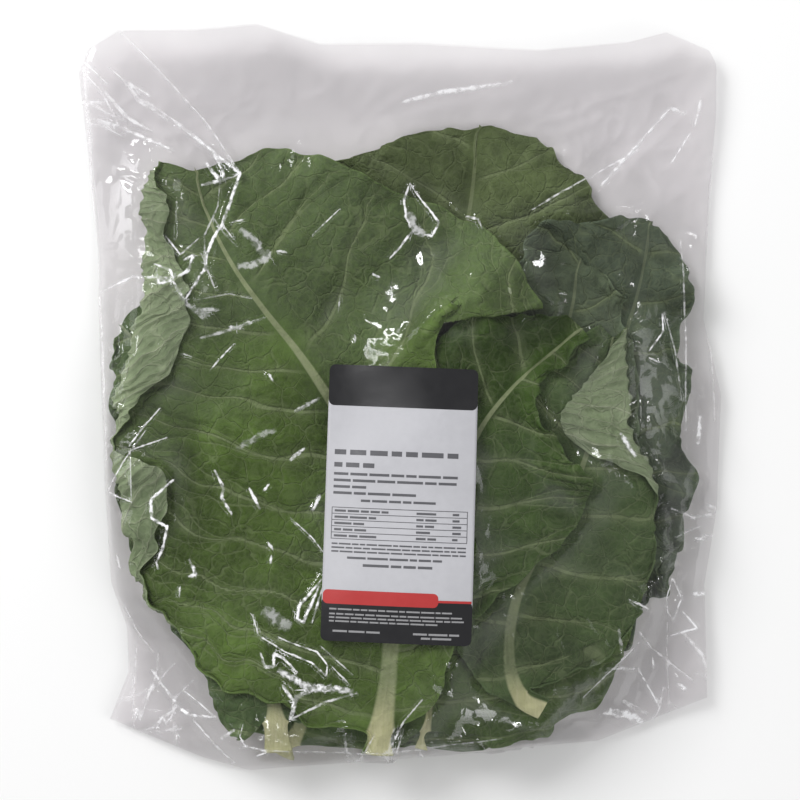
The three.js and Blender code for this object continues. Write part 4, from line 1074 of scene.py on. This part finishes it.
def leaf_material(name, leaf, under):
    """Waxy upper side or pale underside of a leaf: midrib, forked side veins, nets between and mottling,
    and painted shade in the hollows of its folds.
    """
    shader = Shader(name)
    place = shader.place()
    flat = shader.attribute("leaf_mm", "Vector")
    spacing = shader.attribute("vein_spacing")
    width = shader.attribute("vein_width")
    blade = shader.attribute("blade")
    warp_scale, reach = NET_WARP
    swirl = shader.noise(warp_scale, flat, detail=2, output="Color")
    warped = shader.vector_math("ADD", flat, shader.vector_math("MULTIPLY", swirl, (reach, reach, 0)))
    from_main = shader.math("PINGPONG", shader.attribute("vein_index"), 0.5)
    from_fork = abs(from_main - shader.attribute("vein_fork"))
    main = from_main * spacing / width
    main_line = main.ramp(0.5, 1.25, 1, 0)
    fork_line = (from_fork * spacing / (width * 0.6)).ramp(0.4, 1.5, 1, 0) * 0.55
    side_vein = shader.math("MAXIMUM", main_line, fork_line) * blade
    halo = main.ramp(0.8, 5.5, 1, 0) * blade
    rib = (shader.attribute("from_midrib") / shader.attribute("midrib_width")).ramp(0.7, 1.1, 1, 0)
    net = shader.cracks(NET_SCALE, warped)
    net_line = net.ramp(0.012, 0.055, 1, 0) * blade
    mesh_line = shader.cracks(MESH_SCALE, warped).ramp(0.02, 0.2, 1, 0) * blade
    patches = shader.noise(PATCH_SCALE, place, detail=5)
    broad = shader.noise(BROAD_SCALE, place, detail=2).ramp(0.42, 0.72) * 0.35
    speckle = shader.noise(SPECKLE_SCALE, place).ramp(0.3, 0.7, 0, 0.22)
    streak = shader.noise(STREAK_SCALE, shader.vector_math("MULTIPLY", place, (1, 0.06, 1)), detail=2)
    if under:
        deep, light, vein_colour, rib_colour = UNDER_DEEP, UNDER_LIGHT, UNDER_VEIN, UNDER_RIB
        net_share, vein_share = 0.36, 0.8
        waxy = []
        smoothest, roughest, specular, sunk = 0.6, 0.75, 0.22, 1.0
    else:
        deep, light = tinted(leaf["green"], 0.62), tinted(leaf["green"], 1.45, 0.004)
        vein_colour, rib_colour = UPPER_VEIN, UPPER_RIB
        net_share, vein_share = 0.12 + 0.16 * leaf["rib"], 0.4 + 0.36 * leaf["rib"]
        waxy = [(shader.attribute("bloom") * patches.ramp(0.3, 0.7, 0.6, 1), BLOOM)]
        smoothest, roughest, specular, sunk = 0.36, 0.56, 0.18, -1.0
    layers = [
        (net.ramp(0.05, 0.32, 0, 0.38) * blade, deep),
        (broad, tinted(light, 0.95, 0.02)),
        *waxy,
        (halo * 0.22, vein_colour),
        (mesh_line * 0.12, vein_colour),
        (net_line * net_share, vein_colour),
        (side_vein * vein_share, vein_colour),
        (rib * (0.9 * leaf["rib"]), rib_colour),
        (speckle, tinted(light, 1.1, 0.015)),
        # painted shade in the hollows of the crumpled folds
        (shader.attribute("painted_fold_shade") * 0.6, tinted(deep, 0.4)),
        (shader.attribute("margin") * 0.35, tinted(light, 1.3, 0.06)),
        (shader.attribute("stalk"), shader.blend(streak, *STALK_STREAKS)),
    ]
    colour = shader.blend(patches.ramp(0.38, 0.64), deep, light)
    for share, tint in layers:
        colour = shader.blend(share, colour, tint)
    lines = mesh_line * (0.3 * sunk) + net_line * (0.8 * sunk) + side_vein * (0.7 * sunk)
    grain = shader.noise(GRAIN_SCALE, place, detail=2) * 0.3
    rumple = shader.noise(RUMPLE_SCALE, place, detail=4) * 1.8
    shader.dress(shader.surface, {
        "Base Color": colour,
        "Roughness": shader.noise(ROUGH_SCALE, place, detail=4).ramp(0.3, 0.7, smoothest, roughest),
        "Specular IOR Level": specular,
        "Normal": shader.bump(lines + grain + rumple, 0.8, 0.0008),
    })
    return shader.material


def film_material():
    """Clear film: see-through with a faint grey tint, mirror-like gloss, patches of haze, and creases with
    painted white highlights.
    """
    shader = Shader("clear_film")
    place = shader.place()
    # painted highlights: white lines along the sharp creases, ragged and broken by noise
    ragged = shader.noise(RAGGED_SCALE, place, detail=4, roughness=0.6) * 2.6 - 1.3
    line = (abs(shader.attribute("glint")) + ragged).ramp(0.4, 1.3, 1, 0)
    line = line * shader.noise(BREAK_SCALE, place, detail=2).ramp(0.38, 0.58, 0.2, 1)
    line = line * shader.attribute("glint_paint")
    fold = shader.noise(FOLD_SCALE, shader.vector_math("MULTIPLY", place, (1, 0.35, 1)))
    height = shader.noise(WRINKLE_SCALE, place, detail=4) * 0.35 + fold
    shader.dress(shader.surface, {
        "Base Color": FILM_GLOSS,
        "Metallic": 1.0,
        "Roughness": 0.09,
        "Normal": shader.bump(height, 0.3, 0.0015),
    })
    clear = shader.value("ShaderNodeBsdfTransparent", {"Color": FILM_TINT}, 0)
    white = shader.value("ShaderNodeBsdfPrincipled", {"Base Color": PAINTED_GLINT_WHITE, "Roughness": 0.35}, 0)
    facing = shader.value("ShaderNodeLayerWeight", {"Blend": 0.3}, "Fresnel")
    haze = shader.noise(HAZE_SCALE, place).ramp(0.4, 0.7, *FILM_HAZE)
    haze = haze * shader.attribute("loose").ramp(0, 1, 0.35, 1.3)
    share = shader.math("ADD", facing * 0.55, haze, clamp=True)
    glossy = shader.mixed(share, clear, Value(shader, shader.surface.outputs[0]))
    # lays the painted white highlights over the film
    glint_painted = shader.mixed(shader.math("MULTIPLY", line, 1.15, clamp=True), glossy, white)
    shader.join(glint_painted, shader.tree.nodes["Material Output"].inputs["Surface"])
    return shader.material


def print_material(name, colour, rough):
    shader = Shader(name)
    place = shader.place()
    mottle = shader.noise(260, place)
    shader.dress(shader.surface, {
        "Base Color": shader.blend(mottle, tinted(colour, 0.93), tinted(colour, 1.05)),
        "Roughness": mottle.ramp(0.3, 0.7, rough, rough + 0.1),
        "Normal": shader.bump(shader.noise(1500, place), 0.12, 0.0002),
    })
    return shader.material


# Bag film


def bag_plan(s, t):
    """Plan points of the bag at shares s of its width and t of its length."""
    left, right = along(BAG_LEFT, t), along(BAG_RIGHT, t)
    low, high = along(BAG_BOTTOM, s), along(BAG_MOUTH, s)
    s, t = s[..., None], t[..., None]
    bottom, mouth = (mix(np.array(BAG_LEFT[k]), np.array(BAG_RIGHT[k]), s) for k in (0, -1))
    return mix(left, right, s) + mix(low, high, t) - mix(bottom, mouth, t)


def tight_film(plan, least, fixed, rounds):
    """Draws a film tight over least heights: each free point goes to the mean of those beside it."""
    down, across = (1 / np.linalg.norm(np.diff(plan, axis=axis), axis=-1) for axis in (0, 1))
    sides = [
        (np.s_[1:], np.s_[:-1], down), (np.s_[:-1], np.s_[1:], down),
        (np.s_[:, 1:], np.s_[:, :-1], across), (np.s_[:, :-1], np.s_[:, 1:], across),
    ]
    z = least.copy()
    weights = np.zeros_like(z)
    for here, _, weight in sides:
        weights[here] += weight
    for _ in range(rounds):
        total = np.zeros_like(z)
        for here, there, weight in sides:
            total[here] += z[there] * weight
        z = np.where(fixed, z, np.maximum(least, total / weights))
    return z


def lines_of(rows):
    """From rows of two numbers and then the x and y of points: the points, and the two numbers."""
    return [(np.reshape(row[2:], (-1, 2)).astype(float), *row[:2]) for row in rows]


def heading_of(angle):
    return np.array([math.cos(angle), math.sin(angle)])


def random_creases(count, seed, ring=(0.6, 0.98)):
    """Short seeded creases that run inward from the seams, as film wrinkles do where it is drawn in."""
    draw = np.random.default_rng(seed)
    creases = []
    for _ in range(count):
        outward = heading_of(draw.uniform(0, 2 * math.pi))
        start = outward * (BAG_HALF_WIDTH, BAG_HALF_LENGTH) * draw.uniform(*ring) / np.abs(outward).max()
        inward = -start / np.linalg.norm(start)
        turn = draw.uniform(-0.9, 0.9)
        heading = inward * math.cos(turn) + np.array([-inward[1], inward[0]]) * math.sin(turn)
        length = draw.uniform(14, 55)
        side = np.array([-heading[1], heading[0]]) * draw.uniform(-0.16, 0.16) * length
        points = [start, start + heading * length / 2 + side, start + heading * length]
        creases.append((points, draw.uniform(0.35, 1.0), draw.uniform(1.0, 2.2)))
    return creases


def random_glints(zones, count, seed):
    """Short seeded creases that catch the light and carry painted highlights, count of them in each crumpled
    zone, drawn outward.
    """
    draw = np.random.default_rng(seed)
    glints = []
    for x, y, reach in zones:
        for _ in range(count):
            start = np.array([x, y]) + draw.normal(0, 0.42 * reach, 2)
            angle = math.atan2(y, x) + draw.normal(0, 0.5)
            points = [start]
            for _ in range(draw.integers(1, 4)):
                points.append(points[-1] + draw.uniform(7, 20) * heading_of(angle))
                angle += draw.normal(0, 0.45)
            glints.append((points, draw.uniform(0.4, 1.0), draw.uniform(0.25, 0.65)))
    return glints


def crease_height(plan, creases):
    """The lift of the film by its folds."""
    lift = np.zeros(plan.shape[:-1])
    for points, height, half in creases:
        points = np.asarray(points, float)
        travelled = stretches(points)[1]
        best = np.full(lift.shape, np.inf)
        share = np.zeros(lift.shape)
        for k, step in enumerate(np.diff(points, axis=0)):
            u = np.clip(((plan - points[k]) @ step) / (step @ step), 0, 1)
            gap = np.linalg.norm(plan - (points[k] + u[..., None] * step), axis=-1)
            share = np.where(gap < best, mix(travelled[k], travelled[k + 1], u), share)
            best = np.minimum(gap, best)
        taper = np.sin(math.pi * np.clip(share, 0.03, 0.97)) ** 0.5
        lift = np.maximum(lift, height * taper * np.exp(-best / half))
    return lift


def glint_fields(plan, glints):
    """For each point: its distance from the nearest sharp crease in half widths of it, how bright the painted
    highlight of that crease is, and how far creases lift the film. The distance changes sign across a crease,
    so it stays sharp."""
    nearest, signed = (np.full(plan.shape[:-1], GLINT_REACH) for _ in range(2))
    glint_paint, lift = (np.zeros(plan.shape[:-1]) for _ in range(2))
    for points, half, power in glints:
        points = np.asarray(points, float)
        lengths, travelled = stretches(points)
        for k, step in enumerate(np.diff(points, axis=0)):
            low = np.minimum(points[k], points[k + 1]) - GLINT_REACH * half
            high = np.maximum(points[k], points[k + 1]) + GLINT_REACH * half
            near = np.nonzero(((plan > low) & (plan < high)).all(axis=-1))
            to = plan[near] - points[k]
            u = (to @ step) / (step @ step)
            held = np.clip(u, 0, 1)
            gap = np.linalg.norm(to - held[:, None] * step, axis=-1)
            side = np.sign(step[0] * to[:, 1] - step[1] * to[:, 0])
            share = mix(travelled[k], travelled[k + 1], held)
            taper = np.sin(math.pi * np.clip(share, 0.04, 0.96)) ** 0.4
            scaled = gap / (half * mix(0.5, 1, taper))
            closer = scaled < nearest[near]
            place = (near[0][closer], near[1][closer])
            nearest[place] = scaled[closer]
            signed[place] = (scaled * side)[closer]
            past = np.maximum(u - 1, -u)[closer] * lengths[k]
            fade = (1 - smooth(0, 0.8, past)) * (1 - smooth(2, GLINT_REACH, scaled[closer]))
            glint_paint[place] = power * fade * (0.5 + 0.5 * taper[closer])
            lift[near] = np.maximum(lift[near], 0.9 * power * np.exp(-gap / (half + 0.4)))
    return signed, glint_paint, lift


def film_shares(cells):
    lines = np.linspace(0, 1, cells - 1)
    return np.concatenate([[0], SEAM_CELL * 0.35 + (1 - 0.7 * SEAM_CELL) * lines, [1]])


def every(step, count):
    """The numbers below count in steps, with the last one."""
    return np.unique(np.append(np.arange(0, count, step), count - 1))


def bag_piece(seen):
    """The two films of the bag, joined along the sides and the bottom. The front one is drawn tight over what
    is seen, and its grid is returned."""
    s, t = np.meshgrid(film_shares(FILM_COLUMNS), film_shares(FILM_ROWS))
    plan = bag_plan(s, t)
    x, y = plan[..., 0], plan[..., 1]
    back_z = back_lift(x, y)
    fixed = (t == 0) | (s == 0) | (s == 1)
    held = sample(spread(seen, CELL), x, y) + FILM_GAP
    mouth = MOUTH_OPEN * np.sin(math.pi * s) * smooth(0.9, 1, t)
    least = np.maximum(back_z + FILM_OPEN * 0.8 + mouth, held)
    front_z = tight_film(plan, np.where(fixed, back_z + SEAM_GAP, least), fixed, FILM_ROUNDS)
    inner = np.clip(np.minimum(np.minimum(s, 1 - s), t) / SEAM_SHARE, 0, 1)
    loose = smooth(*LOOSE_RANGE, front_z - held)
    glints = lines_of(FRONT_GLINTS) + random_glints(CRUMPLED, RANDOM_GLINTS, SEED)
    glint, glint_paint, wrinkles = glint_fields(plan, glints)
    wrinkles += crease_height(plan, lines_of(FRONT_CREASES) + random_creases(RANDOM_CREASES, SEED))
    wrinkles += mix(0.3, 1, loose) * layered(crumple, x, y, FILM_FOLDS, SEED + 3, 3)
    wrinkles += layered(crumple, x, y, [FILM_RIPPLE], SEED + 9)
    crumpled = np.max([bell(np.hypot(x - zone[0], y - zone[1]), zone[2]) for zone in CRUMPLED], axis=0)
    rough = crumpled * layered(crumple, x, y, FILM_CRUMPLES, SEED + 12, 3)
    front_z = front_z + (wrinkles + rough * mix(0.35, 1, loose)) * inner
    back_z = back_z + 0.7 * inner * np.minimum(0.5 * crease_height(plan, lines_of(BACK_CREASES)), 0.6)
    front = np.stack([x, y, front_z], axis=-1)
    kept = np.ix_(every(BACK_STEP, s.shape[0]), every(BACK_STEP, s.shape[1]))
    back = np.stack([x, y, back_z], axis=-1)[kept]
    points = np.concatenate([front.reshape(-1, 3), back.reshape(-1, 3)])
    faces = [grid_faces(*s.shape), grid_faces(*back.shape[:2], start=s.size, flipped=True)]
    on_back = np.zeros(back[..., 0].size)
    attributes = {
        "glint": np.append(glint, on_back + GLINT_REACH),
        "glint_paint": np.append(glint_paint, on_back),
        "loose": np.append(loose, on_back),
    }
    piece = make_mesh("bag_film", points, np.concatenate(faces), attributes=attributes)
    piece.data.materials.append(film_material())
    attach(piece, "root")
    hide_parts("bag")
    return front


# Label


def label_point(s, t):
    top, low = (mix(np.array(LABEL[a]), np.array(LABEL[b]), s[..., None]) for a, b in ((0, 1), (3, 2)))
    return mix(low, top, t[..., None])


def patch_grid(x0, y0, x1, y1, radius):
    """Plan shares of a rectangle on the label, given in millimetres from its lower left corner."""
    columns, rows = (max(2, int(size / PATCH_STEP) + 1) for size in (x1 - x0, y1 - y0))
    y = np.linspace(y0, y1, rows)
    if radius:
        arc = radius * (1 - np.cos(np.linspace(0, math.pi / 2, CORNER_STEPS)))
        y = np.unique(np.concatenate([y0 + arc, y1 - arc, y[(y > y0 + radius) & (y < y1 - radius)]]))
    near = np.minimum(y - y0, y1 - y)
    inset = np.where(near < radius, radius - np.sqrt(np.maximum(0, radius ** 2 - (radius - near) ** 2)), 0)
    x = mix((x0 + inset)[:, None], (x1 - inset)[:, None], np.linspace(0, 1, columns)[None, :])
    return x / LABEL_WIDTH, np.repeat(y[:, None], columns, axis=1) / LABEL_LENGTH


def label_piece(name, boxes, height, level, material, replaces=None):
    """One printed colour of the label, as thin patches that follow its surface."""
    points, faces, start = [], [], 0
    for box in boxes:
        s, t = patch_grid(*box)
        plan = label_point(s, t)
        z = sample(height, plan[..., 0], plan[..., 1]) + level
        grid = np.concatenate([plan, z[..., None]], axis=-1)
        points.append(grid.reshape(-1, 3))
        faces.append(grid_faces(*s.shape, start=start))
        start += s.size
        if replaces:
            points.append((grid - [0, 0, PAPER_DEPTH]).reshape(-1, 3))
            faces.append(grid_faces(*s.shape, start=start, flipped=True))
            faces.append(rim_faces(*s.shape, start))
            start += s.size
    piece = make_mesh(name, np.concatenate(points), np.concatenate(faces))
    piece.data.materials.append(material)
    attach(piece, "root")
    if replaces:
        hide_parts(replaces)


def dashes(rows, draw):
    """Rows of plain dashes of uneven lengths."""
    boxes = []
    for y, height, left, right, shortest, longest in rows:
        x = left
        while x < right - shortest * height:
            width = min(draw.uniform(shortest, longest) * height, right - x)
            boxes.append((x, y, x + width, y + height, 0))
            x += width + DASH_GAP * height
    return boxes


def rule_boxes():
    """Rows of plain dashes and a ruled box on the white field of the label."""
    lines = [BOX_LOW + BOX_ROW * k for k in range(len(BOX_ENDS) + 1)]
    table = []
    for line, end in zip(lines, BOX_ENDS):
        y = line + BOX_DASH
        table += [(y, BOX_DASH, 5, end, 3, 10), (y, BOX_DASH, 46, 56, 3, 10), (y, BOX_DASH, 64, 69, 2, 4)]
    boxes = dashes(UPPER_ROWS + table + LOWER_ROWS, np.random.default_rng(SEED))
    boxes += [(BOX_LEFT, y, BOX_RIGHT, y + BOX_LINE, 0) for y in lines]
    top = lines[-1] + BOX_LINE
    return boxes + [(x, BOX_LOW, x + BOX_LINE, top, 0) for x in (BOX_LEFT, BOX_RIGHT - BOX_LINE)]


def build_label(film):
    field = np.zeros((CELLS_Y, CELLS_X))
    raise_points(field, film.reshape(-1, 3))
    field = soften(spread(field, CELL * 2), 2) + PAPER_GAP
    ink = {tone: print_material("label_" + tone, *look) for tone, look in LABEL_INKS.items()}
    footer_rows = dashes(FOOTER_ROWS, np.random.default_rng(SEED + 1))
    label_piece("label_paper", [PAPER], field, 0.0, ink["white"], replaces="label")
    label_piece("label_header", [HEADER], field, FIELD_LEVEL, ink["black"])
    label_piece("label_footer", [FOOTER], field, FIELD_LEVEL, ink["black"])
    label_piece("label_band", BAND, field, TOP_LEVEL, ink["red"])
    label_piece("label_rules", rule_boxes(), field, DASH_LEVEL, ink["grey"])
    label_piece("label_footer_rules", footer_rows, field, TOP_LEVEL, ink["pale"])


# Floor, light and camera


def build_floor():
    half = FLOOR_SIDE / 2 / MM
    points = np.array([(-half, -half, 0), (half, -half, 0), (half, half, 0), (-half, half, 0)])
    floor = make_mesh("floor", points - [0, 0, FLOOR_GAP], np.array([[0, 1, 2, 3]]))
    shader = Shader("floor")
    cloud = shader.noise(3, shader.place(), detail=2)
    shader.dress(shader.surface, {"Base Color": shader.blend(cloud, *FLOOR_TONES), "Roughness": 0.9})
    floor.data.materials.append(shader.material)


def area_light(name, place, size, power, diffuse):
    """A light aimed at the origin. A diffuse one lights surfaces evenly, another only shows as a glint."""
    data = bpy.data.lights.new(name, "AREA")
    data.shape = "RECTANGLE"
    data.size, data.size_y = size
    data.energy = power
    light = bpy.data.objects.new(name, data)
    light.location = place
    x, y, z = place
    light.rotation_euler = (math.atan2(math.hypot(x, y), z), 0, math.atan2(-x, y) + math.pi)
    light.visible_diffuse = diffuse
    light.visible_glossy = not diffuse
    bpy.context.scene.collection.objects.link(light)


def build_light():
    world = bpy.data.worlds.new("studio")
    world.use_nodes = True
    background = world.node_tree.nodes["Background"]
    background.inputs["Color"].default_value = (1, 1, 1, 1)
    background.inputs["Strength"].default_value = WORLD_LIGHT
    bpy.context.scene.world = world
    for lights, diffuse in ((SOFT_LIGHTS, True), (GLINT_LIGHTS, False)):
        for name, settings in lights.items():
            area_light(name, *settings, diffuse)


def build_camera():
    data = bpy.data.cameras.new("camera")
    data.sensor_width = SENSOR
    data.lens = SENSOR * (CAMERA_HEIGHT - VIEW_LEVEL) / VIEW_WIDTH
    data.clip_end = CAMERA_REACH
    camera = bpy.data.objects.new("camera", data)
    camera.location = (0, 0, CAMERA_HEIGHT)
    bpy.context.scene.collection.objects.link(camera)
    bpy.context.scene.camera = camera


# Bunch


def seam_lines(cells):
    """Shares at the lines of the coarse bag, with a narrow cell at each seam."""
    return np.array([0, *(SEAM_CELL + (1 - 2 * SEAM_CELL) * np.arange(cells - 1) / (cells - 2)), 1])


def coarse_back():
    """The height field of the empty bag: its back film, raised by its wall."""
    x, y = np.meshgrid(GRID_X, GRID_Y)
    field = back_lift(x, y) + FILM_WALL
    plan = bag_plan(*np.meshgrid(seam_lines(BAG_COLUMNS), seam_lines(BAG_ROWS)))
    top = back_lift(plan[..., 0], plan[..., 1]) + FILM_WALL
    checks = np.add.outer(np.arange(BAG_ROWS), np.arange(BAG_COLUMNS)) % 2 == 1
    raise_grid(field, np.concatenate([plan, top[..., None]], axis=-1), checks)
    return field


def build_bunch():
    """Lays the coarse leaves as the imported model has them, from the lowest up, and then makes the fine leaves
    on the same supports, from the top one down, the film over them and the label on it."""
    field = coarse_back()
    laid = []
    for leaf in LEAVES:
        support = support_for(leaf, field)
        upper, lower, _, _ = leaf_grids(leaf, support, coarse_rows(leaf))
        cut = diagonals(upper)
        own = np.full(field.shape, -1.0)
        raise_grid(own, upper, cut)
        raise_grid(own, lower, cut)
        field = np.maximum(field, own)
        laid.append((leaf, support, own))
    covered = np.zeros(field.shape)
    for leaf, support, own in reversed(laid):
        bare = 1 - soften(spread(covered, COVER_REACH), 1)
        fine = leaf_piece(leaf, support, bare)
        raise_points(field, fine.reshape(-1, 3))
        covered = np.maximum(covered, own > 0)
    build_label(bag_piece(field))


bpy.context.scene.view_settings.view_transform = "Standard"
build_camera()
build_floor()
build_light()
build_bunch()
